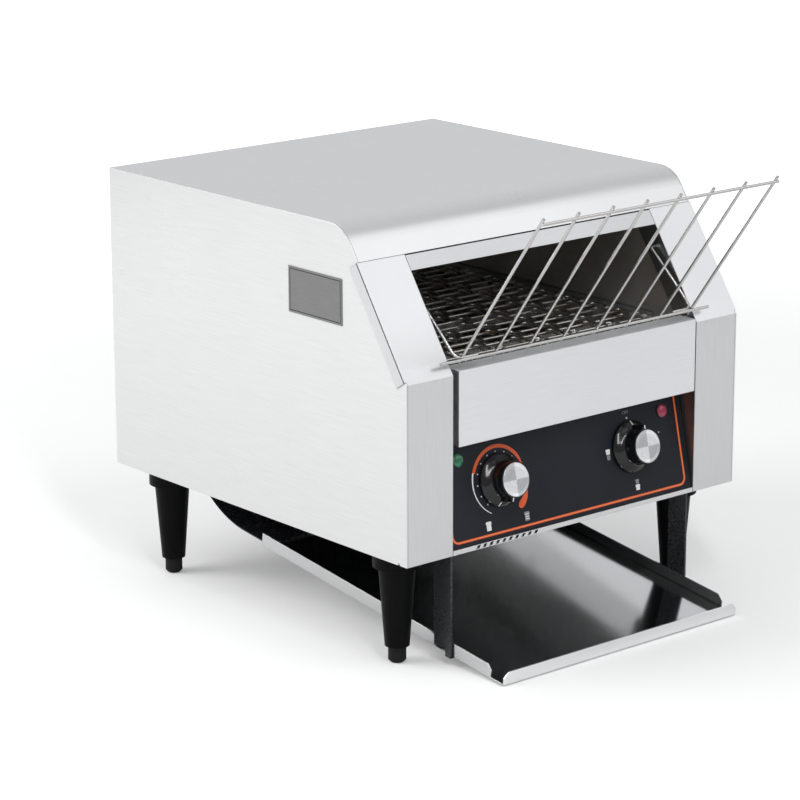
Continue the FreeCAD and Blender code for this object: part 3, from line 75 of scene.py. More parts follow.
# studio: floor, world and lamps
studio = {
    "floorHalf": 6,
    "floorTone": (0.80, 0.80, 0.79),
    "floorLift": 0.18, "farLift": 0.75, "nearReach": 0.7, "farReach": 2.6,
    "frontTone": (0.42, 0.43, 0.45),
    "rearTone": (0.71, 0.715, 0.73),
    "toneTurn": (-0.5, 0.35),  # from the front tone to the rear tone
    "lamps": [
        # name, place, aim, width, height, watts
        ("leftRearBox", (-1.9, 1.3, 1.7), (-0.6, 0.5, 0.0), 1.6, 1.6, 36),
        ("frontRightBox", (1.3, -1.9, 1.9), (0.0, -0.1, 0.25), 2.4, 2.4, 15.3),
        ("leftFrontBox", (-0.85, -1.7, 2.0), (0, -0.2, 0.2), 0.22, 2.0, 22),
    ],
}


def fill(tree, node, values):
    # links what comes from another node, and sets a plain value on the node's own socket
    for key, value in values.items():
        if isinstance(value, bpy.types.NodeSocket):
            tree.links.new(value, node.inputs[key])
        else:
            node.inputs[key].default_value = value


def addNode(tree, kind, values=None, **settings):
    node = tree.nodes.new(kind)
    for key, value in settings.items():
        setattr(node, key, value)
    fill(tree, node, values or {})
    return node


def makeFloor():
    mesh = bpy.data.meshes.new("studioFloor")
    half = studio["floorHalf"]
    corners = [(-half, -half, 0), (half, -half, 0), (half, half, 0), (-half, half, 0)]
    mesh.from_pydata(corners, [], [(0, 1, 2, 3)])
    floor = bpy.data.objects.new("studioFloor", mesh)
    bpy.context.scene.collection.objects.link(floor)
    material = bpy.data.materials.new("floorPaper")
    material.use_nodes = True
    tree = material.node_tree
    tree.nodes.clear()
    grain = addNode(tree, "ShaderNodeTexNoise", {"Scale": 240.0, "Detail": 3.0})
    tone = addNode(tree, "ShaderNodeMapRange", {
        "Value": grain.outputs["Fac"], "To Min": 0.97, "To Max": 1.0})
    colour = addNode(tree, "ShaderNodeVectorMath", {
        0: studio["floorTone"], "Scale": tone.outputs["Result"]}, operation="SCALE")
    paper = addNode(tree, "ShaderNodeBsdfDiffuse", {"Color": colour.outputs["Vector"]})
    # the camera sees the floor a little paler, more so far behind, and its shadow stays
    ray = addNode(tree, "ShaderNodeLightPath")
    place = addNode(tree, "ShaderNodeTexCoord")
    reach = addNode(tree, "ShaderNodeVectorMath", {0: place.outputs["Object"]}, operation="LENGTH")
    pale = addNode(tree, "ShaderNodeMapRange", {
        "Value": reach.outputs["Value"], "From Min": studio["nearReach"], "From Max": studio["farReach"],
        "To Min": studio["floorLift"], "To Max": studio["farLift"]}, interpolation_type="SMOOTHSTEP")
    glow = addNode(tree, "ShaderNodeEmission", {"Color": (1, 1, 1, 1), "Strength": pale.outputs["Result"]})
    none = addNode(tree, "ShaderNodeEmission", {"Strength": 0.0})
    lift = addNode(tree, "ShaderNodeMixShader", {
        0: ray.outputs["Is Camera Ray"], 1: none.outputs[0], 2: glow.outputs[0]})
    both = addNode(tree, "ShaderNodeAddShader", {0: paper.outputs[0], 1: lift.outputs[0]})
    addNode(tree, "ShaderNodeOutputMaterial", {"Surface": both.outputs[0]})
    mesh.materials.append(material)


def makeWorld():
    world = bpy.data.worlds.new("studioWorld")
    world.use_nodes = True
    tree = world.node_tree
    tree.nodes.clear()
    ray = addNode(tree, "ShaderNodeLightPath")
    # the room is dimmer in front of the object than behind it
    place = addNode(tree, "ShaderNodeTexCoord")
    split = addNode(tree, "ShaderNodeSeparateXYZ", {"Vector": place.outputs["Generated"]})
    first, last = studio["toneTurn"]
    rear = addNode(tree, "ShaderNodeMapRange", {
        "Value": split.outputs["Y"], "From Min": first, "From Max": last})
    tone = addNode(tree, "ShaderNodeMix", {
        0: rear.outputs["Result"], 6: (*studio["frontTone"], 1), 7: (*studio["rearTone"], 1),
    }, data_type="RGBA")
    air = addNode(tree, "ShaderNodeBackground", {"Color": tone.outputs[2], "Strength": 1.0})
    white = addNode(tree, "ShaderNodeBackground", {"Color": (1, 1, 1, 1), "Strength": 1.0})
    mix = addNode(tree, "ShaderNodeMixShader", {
        0: ray.outputs["Is Camera Ray"], 1: air.outputs[0], 2: white.outputs[0]})
    addNode(tree, "ShaderNodeOutputWorld", {"Surface": mix.outputs[0]})
    bpy.context.scene.world = world


def makeLamps():
    for name, place, aim, width, height, watts in studio["lamps"]:
        data = bpy.data.lights.new(name, "AREA")
        data.shape = "RECTANGLE"
        data.size = width
        data.size_y = height
        data.energy = watts
        lamp = bpy.data.objects.new(name, data)
        lamp.location = place
        lamp.rotation_euler = (Vector(aim) - Vector(place)).to_track_quat("-Z", "Y").to_euler()
        bpy.context.scene.collection.objects.link(lamp)


makeFloor()
makeWorld()
makeLamps()
print("studio ready")


# finishes
def startFinish(name):
    material = bpy.data.materials.new(name)
    material.use_nodes = True
    tree = material.node_tree
    tree.nodes.clear()
    shader = addNode(tree, "ShaderNodeBsdfPrincipled")
    addNode(tree, "ShaderNodeOutputMaterial", {"Surface": shader.outputs["BSDF"]})
    return material, tree, shader


def noiseField(tree, scale, detail=2.0, stretch=(1, 1, 1)):
    place = addNode(tree, "ShaderNodeTexCoord")
    mapping = addNode(tree, "ShaderNodeMapping", {"Vector": place.outputs["Object"], "Scale": stretch})
    noise = addNode(tree, "ShaderNodeTexNoise", {
        "Vector": mapping.outputs["Vector"], "Scale": scale, "Detail": detail})
    return noise.outputs["Fac"]


def ranged(tree, value, low, high, fromLow=0.3, fromHigh=0.7):
    node = addNode(tree, "ShaderNodeMapRange", {
        "Value": value, "From Min": fromLow, "From Max": fromHigh, "To Min": low, "To Max": high})
    return node.outputs["Result"]


def mixedColour(tree, factor, first, second):
    first, second = [(*tone, 1) if isinstance(tone, tuple) else tone for tone in (first, second)]
    return addNode(tree, "ShaderNodeMix", {0: factor, 6: first, 7: second}, data_type="RGBA").outputs[2]


def shaded(tone, share):
    return tuple(min(value * share, 1) for value in tone)


def summed(tree, *values):
    total = values[0]
    for value in values[1:]:
        total = addNode(tree, "ShaderNodeMath", {0: total, 1: value}, operation="ADD").outputs[0]
    return total


def bumped(tree, height, strength, distance, edge=0.0):
    links = {"Height": height, "Strength": strength, "Distance": distance}
    if edge:
        soft = addNode(tree, "ShaderNodeBevel", {"Radius": edge}, samples=4)
        links["Normal"] = soft.outputs["Normal"]
    return addNode(tree, "ShaderNodeBump", links).outputs["Normal"]


grainAlong = {"x": (28, 2600, 2600), "y": (2600, 28, 2600), "z": (2600, 2600, 28)}


def paintedSeamShade(tree, colour, reach=0.003):
    # painted shade: an ambient occlusion node darkens the colour at seams and at the feet of steps, where
    # shade gathers
    shade = addNode(tree, "ShaderNodeAmbientOcclusion", {"Distance": reach}, samples=6)
    depth = ranged(tree, shade.outputs["AO"], 0.25, 1.0, 0.45, 0.92)
    dark = addNode(tree, "ShaderNodeVectorMath", {0: colour, "Scale": depth}, operation="SCALE")
    return dark.outputs["Vector"]


def brushedSheet(name, tone, roughness, along, grain=0.05, stain=None, edge=0.0005):
    material, tree, shader = startFinish(name)
    lines = noiseField(tree, 1.0, 3.0, grainAlong[along])
    clouds = noiseField(tree, 7.0, 4.0)
    colour = mixedColour(tree, ranged(tree, lines, 0.0, 1.0), shaded(tone, 0.95), shaded(tone, 1.04))
    if stain:
        colour = mixedColour(tree, ranged(tree, clouds, 0.0, 1.0, 0.35, 0.75), colour, stain)
    rough = ranged(tree, clouds, roughness - 0.04, roughness + 0.05)
    fill(tree, shader, {
        # the base colour carries painted seam shade
        "Base Color": paintedSeamShade(tree, colour),
        "Roughness": summed(tree, ranged(tree, lines, -grain, grain), rough),
        "Metallic": 1.0,
        "Normal": bumped(tree, lines, 0.12, 0.00004, edge),
    })
    return material


def paintLightBand(material, band):
    # repaints what lies "middle" metres from the origin along a direction, to either side of it, as painted
    # highlights and painted shade
    tree = material.node_tree
    shader = tree.nodes["Principled BSDF"]
    base = shader.inputs["Base Color"].links[0].from_socket
    place = addNode(tree, "ShaderNodeTexCoord")
    along = addNode(tree, "ShaderNodeVectorMath", {0: place.outputs["Object"], 1: band["direction"]},
                    operation="DOT_PRODUCT")
    far = addNode(tree, "ShaderNodeMath", {0: along.outputs["Value"]}, operation="ABSOLUTE")
    near = addNode(tree, "ShaderNodeMath", {0: far.outputs[0], 1: band["middle"], 2: band["halfWide"]},
                   operation="COMPARE")
    share = near.outputs[0]
    if "beyondX" in band:  # only what is further out sideways than this
        split = addNode(tree, "ShaderNodeSeparateXYZ", {"Vector": place.outputs["Object"]})
        side = addNode(tree, "ShaderNodeMath", {0: split.outputs["X"]}, operation="ABSOLUTE")
        outer = addNode(tree, "ShaderNodeMath", {0: side.outputs[0], 1: band["beyondX"]},
                        operation="GREATER_THAN")
        both = addNode(tree, "ShaderNodeMath", {0: share, 1: outer.outputs[0]}, operation="MULTIPLY")
        share = both.outputs[0]
    fill(tree, shader, {"Base Color": mixedColour(tree, share, base, band["tone"])})
    if "metal" in band:
        fill(tree, shader, {"Metallic": ranged(tree, share, 1.0, band["metal"], 0, 1)})


def spangledSheet(name, tone, roughness):
    material, tree, shader = startFinish(name)
    place = addNode(tree, "ShaderNodeTexCoord")
    flakes = addNode(tree, "ShaderNodeTexVoronoi", {
        "Vector": place.outputs["Object"], "Scale": 150.0, "Randomness": 1.0})
    grey = addNode(tree, "ShaderNodeSeparateColor", {"Color": flakes.outputs["Color"]}).outputs[0]
    dull = noiseField(tree, 12.0, 4.0)
    colour = mixedColour(tree, grey, shaded(tone, 0.86), shaded(tone, 1.1))
    rough = ranged(tree, dull, roughness, roughness + 0.14)
    fill(tree, shader, {
        "Base Color": mixedColour(tree, ranged(tree, dull, 0.0, 0.5), colour, shaded(tone, 0.6)),
        "Roughness": summed(tree, ranged(tree, grey, -0.05, 0.05, 0, 1), rough),
        "Metallic": 1.0,
        "Normal": bumped(tree, grey, 0.08, 0.0001, 0.0004),
    })
    return material


def drawnMetal(name, tone, roughness, stain=None, scale=900.0, edge=0.0):
    material, tree, shader = startFinish(name)
    fine = noiseField(tree, scale)
    broad = noiseField(tree, 26.0, 4.0)
    colour = mixedColour(tree, ranged(tree, fine, 0.0, 1.0), shaded(tone, 0.92), shaded(tone, 1.05))
    if stain:
        colour = mixedColour(tree, ranged(tree, broad, 0.0, 0.8, 0.4, 0.7), colour, stain)
    rough = ranged(tree, broad, roughness, roughness + 0.08)
    fill(tree, shader, {
        "Base Color": colour,
        "Roughness": summed(tree, ranged(tree, fine, -0.03, 0.03), rough),
        "Metallic": 1.0,
        "Normal": bumped(tree, fine, 0.06, 0.00005, edge),
    })
    return material


def mouldedPlastic(name, tone, roughness, grain=0.15, coat=0.0, dust=0.04, edge=0.0004, scale=1400.0,
                   shine=0.5):
    # grain is the depth of its pores, dust what its pale patches add to the tone
    material, tree, shader = startFinish(name)
    pores = noiseField(tree, scale, 3.0)
    broad = noiseField(tree, 18.0, 4.0)
    pale = tuple(min(value + dust, 1) for value in tone)
    rough = ranged(tree, broad, roughness, roughness + 0.07)
    fill(tree, shader, {
        "Base Color": mixedColour(tree, ranged(tree, broad, 0.0, 0.5), tone, pale),
        "Roughness": summed(tree, ranged(tree, pores, -0.04, 0.04), rough),
        "Specular IOR Level": shine,
        "Coat Weight": coat,
        "Coat Roughness": 0.08,
        "Normal": bumped(tree, pores, grain, 0.00006, edge),
    })
    return material


def filmPanel():
    material, tree, shader = startFinish("panelFilm")
    weave = noiseField(tree, 2600.0)
    broad = noiseField(tree, 9.0, 4.0)
    colour = mixedColour(tree, ranged(tree, broad, 0.0, 1.0), (0.0105, 0.0125, 0.017),
                         (0.016, 0.0185, 0.024))
    fill(tree, shader, {
        "Base Color": colour,
        "Roughness": summed(tree, ranged(tree, weave, -0.03, 0.03), ranged(tree, broad, 0.30, 0.36)),
        "Specular IOR Level": 0.2,
        "Normal": bumped(tree, weave, 0.08, 0.00003, 0.0003),
    })
    return material


plateRule = {"inset": 0.0021, "halfWide": 0.0004}


def barePlate():
    material, tree, shader = startFinish("barePlate")
    low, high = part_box("nameplate")
    centre = (low + high) / 2
    lines = noiseField(tree, 1.0, 3.0, (2600, 60, 2600))
    place = addNode(tree, "ShaderNodeTexCoord")
    split = addNode(tree, "ShaderNodeSeparateXYZ", {"Vector": place.outputs["Object"]})
    # distance from the plate's edge, for the thin rule printed round its border
    gaps = []
    for axis, middle, half in (("Y", centre.y, (high.y - low.y) / 2), ("Z", centre.z, (high.z - low.z) / 2)):
        shifted = addNode(tree, "ShaderNodeMath", {0: split.outputs[axis], 1: middle}, operation="SUBTRACT")
        far = addNode(tree, "ShaderNodeMath", {0: shifted.outputs[0]}, operation="ABSOLUTE")
        gap = addNode(tree, "ShaderNodeMath", {0: half, 1: far.outputs[0]}, operation="SUBTRACT")
        gaps.append(gap.outputs[0])
    nearest = addNode(tree, "ShaderNodeMath", {0: gaps[0], 1: gaps[1]}, operation="MINIMUM")
    rule = addNode(tree, "ShaderNodeMath", {
        0: nearest.outputs[0], 1: plateRule["inset"], 2: plateRule["halfWide"]}, operation="COMPARE")
    plate = mixedColour(tree, ranged(tree, lines, 0.0, 1.0), (0.22, 0.22, 0.22), (0.28, 0.28, 0.275))
    fill(tree, shader, {
        "Base Color": mixedColour(tree, rule.outputs[0], plate, (0.04, 0.04, 0.04)),
        "Roughness": ranged(tree, lines, 0.36, 0.46),
        "Metallic": 0.85,
        "Normal": bumped(tree, lines, 0.1, 0.00003, 0.0002),
    })
    return material


def printedInk(name, tone):
    material, tree, shader = startFinish(name)
    weave = noiseField(tree, 3000.0)
    fill(tree, shader, {
        "Base Color": mixedColour(tree, ranged(tree, weave, 0.0, 1.0), shaded(tone, 0.9), tone),
        "Roughness": ranged(tree, weave, 0.36, 0.46),
        "Normal": bumped(tree, weave, 0.08, 0.00003),
    })
    return material


def spunDisc():
    material, tree, shader = startFinish("spunDisc")
    place = addNode(tree, "ShaderNodeTexCoord")
    split = addNode(tree, "ShaderNodeSeparateXYZ", {"Vector": place.outputs["UV"]})
    # U runs round the disc and V from its middle to its rim
    rings = addNode(tree, "ShaderNodeTexNoise", {"W": split.outputs["Y"], "Scale": 70.0, "Detail": 3.0},
                    noise_dimensions="1D")
    # painted highlight: two pale and two dull sectors in one turn, the bow-tie sheen of a spun disc painted
    # into the colour
    turn = addNode(tree, "ShaderNodeMath", {0: split.outputs["X"], 1: 2 * 2 * math.pi}, operation="MULTIPLY")
    wave = addNode(tree, "ShaderNodeMath", {0: turn.outputs[0]}, operation="COSINE")
    paintedBowTie = ranged(tree, wave.outputs[0], 0.0, 1.0, -0.16, 0.16)
    pale = mixedColour(tree, paintedBowTie, (0.54, 0.55, 0.56), (0.98, 0.98, 0.98))
    ring = rings.outputs["Fac"]
    fill(tree, shader, {
        "Base Color": mixedColour(tree, ranged(tree, ring, 0.0, 0.35), pale, (0.55, 0.56, 0.57)),
        "Roughness": ranged(tree, ring, 0.22, 0.36),
        "Metallic": 0.6,
        "Normal": bumped(tree, ring, 0.12, 0.00003),
    })
    return material


def lampLens(name, tone, glow):
    material, tree, shader = startFinish(name)
    place = addNode(tree, "ShaderNodeTexCoord")
    facets = addNode(tree, "ShaderNodeTexVoronoi", {"Vector": place.outputs["Object"], "Scale": 650.0})
    facet = facets.outputs["Distance"]
    share = ranged(tree, facet, 0.0, 1.0, 0.0, 0.6)
    fill(tree, shader, {
        "Base Color": mixedColour(tree, share, shaded(tone, 1.25), shaded(tone, 0.6)),
        "Roughness": ranged(tree, facet, 0.10, 0.18, 0, 1),
        "Coat Weight": 0.8,
        "Coat Roughness": 0.05,
        "Emission Color": (*tone, 1),
        "Emission Strength": glow,
        "Normal": bumped(tree, facet, 0.2, 0.0002),
    })
    return material


def quartzGlass():
    material, tree, shader = startFinish("quartzGlass")
    frost = noiseField(tree, 60.0, 4.0, (0.3, 1, 1))
    colour = mixedColour(tree, ranged(tree, frost, 0.0, 1.0), (0.90, 0.88, 0.84), (0.97, 0.96, 0.94))
    fill(tree, shader, {
        "Base Color": colour,
        "Roughness": ranged(tree, frost, 0.12, 0.30),
        "Transmission Weight": 0.8,
        "IOR": 1.2,
    })
    return material


# painted highlights and painted shade: thin strips in another tone, along edges that catch or lose the light
paintedLightBands = {
    # painted highlight: the tray's front lip painted near white
    "trayLipHighlight": {"direction": (0, 1, 0), "middle": 0.2740, "halfWide": 0.0012, "tone": (0.97, 0.97, 0.98)},
    # painted light: the front plate's top edge painted paler and less metallic, as lit from above
    "plateTopLitEdge": {"direction": (0, 0, 1), "middle": 0.2670, "halfWide": 0.0003, "tone": (0.66, 0.665, 0.67),
                 "metal": 0.25},
    # painted shadow: a dark line on the frames' lap sides, at the lap's bend; its direction is the way the
    # sloping strips face
    "lapShadowLine": {"direction": (0, -0.831, 0.5563), "middle": 0.3216, "halfWide": 0.0007,
                "tone": (0.09, 0.09, 0.095), "beyondX": 0.1985},
    # painted shade: a dark line along the frames' inner edges beside the opening
    "jambShadeLine": {"direction": (1, 0, 0), "middle": 0.1461, "halfWide": 0.0003, "tone": (0.34, 0.34, 0.34)},
}
steel = (0.78, 0.78, 0.78)
satin = 0.34  # roughness of the brushed sheets
sheetAlongY = brushedSheet("brushedSteelDeep", steel, satin, "y")
sheetAlongX = brushedSheet("brushedSteelWide", steel, satin, "x")
# lit and shaded copies of the same brushed steel: painted light makes the side panels and the front plate
# lighter, and painted shade makes the lintel and the front frames darker
litSideSheet = brushedSheet("sideSteelLitCopy", (0.835, 0.835, 0.835), satin, "y")
brightSheet = brushedSheet("brightSheet", (0.71, 0.715, 0.72), 0.12, "y", 0.02)
shadedLintelSheet = brushedSheet("lintelSteelShadedCopy", (0.60, 0.605, 0.61), satin, "x")
litPlateSheet = brushedSheet("plateSteelLitCopy", (0.87, 0.875, 0.89), satin, "x", edge=0.001)
shadedFrameSheet = brushedSheet("frameSteelShadedCopy", (0.74, 0.74, 0.745), satin, "z")
# the inner walls: the brown stain is real heat tint, and the raised tone is painted light, so the shaded
# walls inside the opening read lighter
stainedLitWall = brushedSheet("stainedLitWall", (0.86, 0.84, 0.81), 0.42, "y", 0.06, (0.62, 0.56, 0.48))
paintLightBand(brightSheet, paintedLightBands["trayLipHighlight"])
paintLightBand(litPlateSheet, paintedLightBands["plateTopLitEdge"])
paintLightBand(shadedFrameSheet, paintedLightBands["lapShadowLine"])
paintLightBand(shadedFrameSheet, paintedLightBands["jambShadeLine"])
chromeWire = drawnMetal("chromeWire", (0.61, 0.60, 0.59), 0.10)
beltWire = drawnMetal("beltWire", (0.62, 0.61, 0.59), 0.26, (0.42, 0.34, 0.26))
whiteInk = printedInk("whiteInk", (0.80, 0.80, 0.80))
greyInk = printedInk("greyInk", (0.24, 0.24, 0.245))
orangeInk = printedInk("orangeInk", (0.72, 0.10, 0.020))
paleOrangeInk = printedInk("paleOrangeInk", (0.86, 0.26, 0.085))
knobBlack = mouldedPlastic("knobBlack", (0.005, 0.005, 0.0055), 0.10, 0.05, dust=0.002, edge=0.0003)
discMetal = spunDisc()
coilWire = drawnMetal("coilWire", (0.30, 0.28, 0.26), 0.4)

finishes = {
    "stainless": sheetAlongX,
    "stainless_bright": brightSheet,
    "galvanised": spangledSheet("galvanised", (0.52, 0.53, 0.54), 0.34),
    "wire": chromeWire,
    "belt_wire": beltWire,
    "zinc": drawnMetal("zincPlate", (0.62, 0.63, 0.64), 0.26, (0.50, 0.50, 0.44), 600.0),
    "black_enamel": mouldedPlastic("blackEnamel", (0.020, 0.021, 0.023), 0.24, 0.01, 0.2, 0.006, 0.0005,
                                   500.0),
    "panel_film": filmPanel(),
    "bare_plate": barePlate(),
    "knob_plastic": knobBlack,
    "knob_disc": discMetal,
    "leg_plastic": mouldedPlastic("legBlack", (0.003, 0.003, 0.0032), 0.36, 0.04, dust=0.002, edge=0.0006,
                                  shine=0.07),
    "foot_plastic": mouldedPlastic("footRubber", (0.008, 0.008, 0.008), 0.6, 0.4, dust=0.008, shine=0.2),
    "green_lens": lampLens("greenLens", (0.004, 0.16, 0.07), 0.15),
    "red_lens": lampLens("redLens", (0.36, 0.008, 0.06), 0.12),
    "quartz": quartzGlass(),
    "ceramic": mouldedPlastic("steatite", (0.72, 0.69, 0.62), 0.55, 0.3, dust=0.05),
    "motor_paint": mouldedPlastic("motorPaint", (0.035, 0.035, 0.038), 0.35, 0.2, 0.2, 0.03, 0.0005, 700.0),
    "bronze": drawnMetal("sinteredBronze", (0.52, 0.34, 0.17), 0.36, (0.25, 0.17, 0.10), 2200.0, 0.0003),
    "steel": drawnMetal("turnedSteel", (0.50, 0.50, 0.50), 0.26, (0.36, 0.34, 0.31), 900.0, 0.0003),
    "chain_steel": drawnMetal("oiledSteel", (0.20, 0.195, 0.19), 0.30, (0.08, 0.07, 0.06), 700.0, 0.0002),
    "fan_plastic": mouldedPlastic("fanBlack", (0.016, 0.016, 0.017), 0.42, 0.2, dust=0.02),
    "block_plastic": mouldedPlastic("blockPlastic", (0.66, 0.66, 0.62), 0.45, 0.2, dust=0.03),
}
# which part takes which sheet; the side panels, front plate, lintel and front frames take the lit and shaded
# copies of the steel
sheetGrain = {
    "side_panel_left": litSideSheet, "side_panel_right": litSideSheet, "top_cover": sheetAlongY,
    "front_frame_left": shadedFrameSheet, "front_frame_right": shadedFrameSheet, "opening_lintel": shadedLintelSheet,
    "inner_wall_left": stainedLitWall, "inner_wall_right": stainedLitWall, "front_plate": litPlateSheet,
}


def dressNodes():
    for part in frame["record"]["subparts"]:
        node = cadNodes[part["node"]]
        material = sheetGrain.get(part["node"], finishes[part["material_slot"]])
        node.data.materials.clear()
        node.data.materials.append(material)


dressNodes()


# making pieces
def placedObject(name, mesh):
    piece = bpy.data.objects.new(name, mesh)
    bpy.context.scene.collection.objects.link(piece)
    return piece


def pieceFrom(name, form, material, body, slotName, *stoodFor):
    mesh = bpy.data.meshes.new(name)
    form.to_mesh(mesh)
    form.free()
    mesh.materials.append(material)
    settled(placedObject(name, mesh), body, slotName, *stoodFor)


def settled(piece, body, slotName, *stoodFor):
    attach(piece, body)
    if stoodFor:
        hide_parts(*stoodFor)


def newTree(name, inputs):
    tree = bpy.data.node_groups.new(name, "GeometryNodeTree")
    tree.interface.new_socket("Geometry", in_out="INPUT", socket_type="NodeSocketGeometry")
    kinds = {float: "NodeSocketFloat", int: "NodeSocketInt", tuple: "NodeSocketVector"}
    for label, value in inputs.items():
        if isinstance(value, bpy.types.Material):
            kind = "NodeSocketMaterial"
        elif isinstance(value, bpy.types.Object):
            kind = "NodeSocketObject"
        else:
            kind = kinds[type(value)]
        tree.interface.new_socket(label, in_out="INPUT", socket_type=kind)
    tree.interface.new_socket("Geometry", in_out="OUTPUT", socket_type="NodeSocketGeometry")
    return tree, addNode(tree, "NodeGroupInput").outputs


def closeTree(tree, shape, material, smooth=True):
    real = addNode(tree, "GeometryNodeRealizeInstances", {"Geometry": shape})
    soft = addNode(tree, "GeometryNodeSetShadeSmooth", {"Geometry": real.outputs[0], "Shade Smooth": smooth})
    dressed = addNode(tree, "GeometryNodeSetMaterial", {"Geometry": soft.outputs[0], "Material": material})
    addNode(tree, "NodeGroupOutput", {"Geometry": dressed.outputs[0]})


def growPiece(name, mesh, tree, inputs):
    piece = placedObject(name, mesh)
    modifier = piece.modifiers.new(tree.name, "NODES")
    modifier.node_group = tree
    for item in tree.interface.items_tree:
        if item.item_type == "SOCKET" and item.in_out == "INPUT" and item.name in inputs:
            modifier[item.identifier] = inputs[item.name]
    grown = evaluatedMesh(piece)
    piece.modifiers.remove(modifier)
    piece.data = grown
    grown.name = name
    return piece


def pointMesh(name, points, paths=(), **attributes):
    mesh = bpy.data.meshes.new(name)
    edges = [(a, b) for path in paths for a, b in zip(path, path[1:])]
    mesh.from_pydata([Vector(p) for p in points], edges, [])
    for label, values in attributes.items():
        kind = "FLOAT_VECTOR" if isinstance(values[0], (tuple, Vector)) else "FLOAT"
        layer = mesh.attributes.new(label, kind, "POINT")
        for item, value in zip(layer.data, values):
            if kind == "FLOAT_VECTOR":
                item.vector = value
            else:
                item.value = value
    return mesh


def roundWire(tree, curve, radius, sides):
    ring = addNode(tree, "GeometryNodeCurvePrimitiveCircle", {"Resolution": sides, "Radius": radius})
    wire = addNode(tree, "GeometryNodeCurveToMesh", {
        "Curve": curve, "Profile Curve": ring.outputs[0], "Fill Caps": True})
    return wire.outputs[0]


def filleted(tree, curve, radius, count):
    node = addNode(tree, "GeometryNodeFilletCurve", {
        "Curve": curve, "Count": count, "Radius": radius, "Limit Radius": True}, mode="POLY")
    return node.outputs[0]


def lathed(form, profile, sides):
    rings = []
    for radius, height in profile:
        if radius == 0:
            rings.append([form.verts.new((0, 0, height))])
        else:
            turns = [2 * math.pi * k / sides for k in range(sides)]
            rings.append([form.verts.new((radius * math.cos(turn), radius * math.sin(turn), height))
                          for turn in turns])
    faces = []
    for low, high in zip(rings, rings[1:]):
        for k in range(sides):
            n = (k + 1) % sides
            if len(low) == 1:
                faces.append(form.faces.new((low[0], high[n], high[k])))
            elif len(high) == 1:
                faces.append(form.faces.new((low[k], low[n], high[0])))
            else:
                faces.append(form.faces.new((low[k], low[n], high[n], high[k])))
    for face in faces:
        face.smooth = True


def seatForm(form, place):
    bmesh.ops.recalc_face_normals(form, faces=form.faces)
    bmesh.ops.transform(form, matrix=place, verts=form.verts)


def inMetres(profile):
    return [(radius * mm, height * mm) for radius, height in profile]


def evaluatedMesh(piece):
    return bpy.data.meshes.new_from_object(piece.evaluated_get(bpy.context.evaluated_depsgraph_get()))


# wire rack, in metres and degrees
rack = {
    "footY": -0.212, "footZ": 0.2752,
    "lean": 36.55,
    "height": 0.1645,
    "wireRadius": 0.00138,
    "wireCount": 8,
    "span": 0.2762, "centreX": 0.003,
    "rodHalf": 0.1604,
    "armX": 0.141,
    "armEndX": 0.1493,
    "pivot": (-0.15695, 0.32402),
    "armBends": [(-0.1945, 0.2905), (-0.1735, 0.3095)],
    "armFoot": 0.024,
    "tail": 0.0075, "horn": 0.004,
    "bend": 0.007, "pivotBend": 0.0022,
    "behind": (0.85, 0.4),  # how far behind and above the foot rod an arm's end lies, in wire diameters
    "inFront": 0.8,  # how far before the rods the wires lie, in wire diameters
    "wireSides": 14,
}


def wireRackTree(inputs):
    tree, given = newTree("wireRackTree", inputs)
    path = addNode(tree, "GeometryNodeMeshToCurve", {"Mesh": given["Geometry"]})
    bend = addNode(tree, "GeometryNodeInputNamedAttribute", {"Name": "bend"}, data_type="FLOAT")
    bent = filleted(tree, path.outputs[0], bend.outputs[0], 6)
    rods = roundWire(tree, bent, given["Wire Radius"], rack["wireSides"])
    line = addNode(tree, "GeometryNodeCurvePrimitiveLine", {"End": given["Wire Rise"]})
    wire = roundWire(tree, line.outputs[0], given["Wire Radius"], rack["wireSides"])
    step = addNode(tree, "ShaderNodeCombineXYZ", {"X": given["Wire Pitch"]})
    row = addNode(tree, "GeometryNodeMeshLine", {
        "Count": given["Wire Count"], "Start Location": given["First Wire"], "Offset": step.outputs[0],
    }, mode="OFFSET")
    wires = addNode(tree, "GeometryNodeInstanceOnPoints", {"Points": row.outputs[0], "Instance": wire})
    both = addNode(tree, "GeometryNodeJoinGeometry")
    tree.links.new(rods, both.inputs[0])
    tree.links.new(wires.outputs[0], both.inputs[0])
    closeTree(tree, both.outputs[0], given["Material"])
    return tree


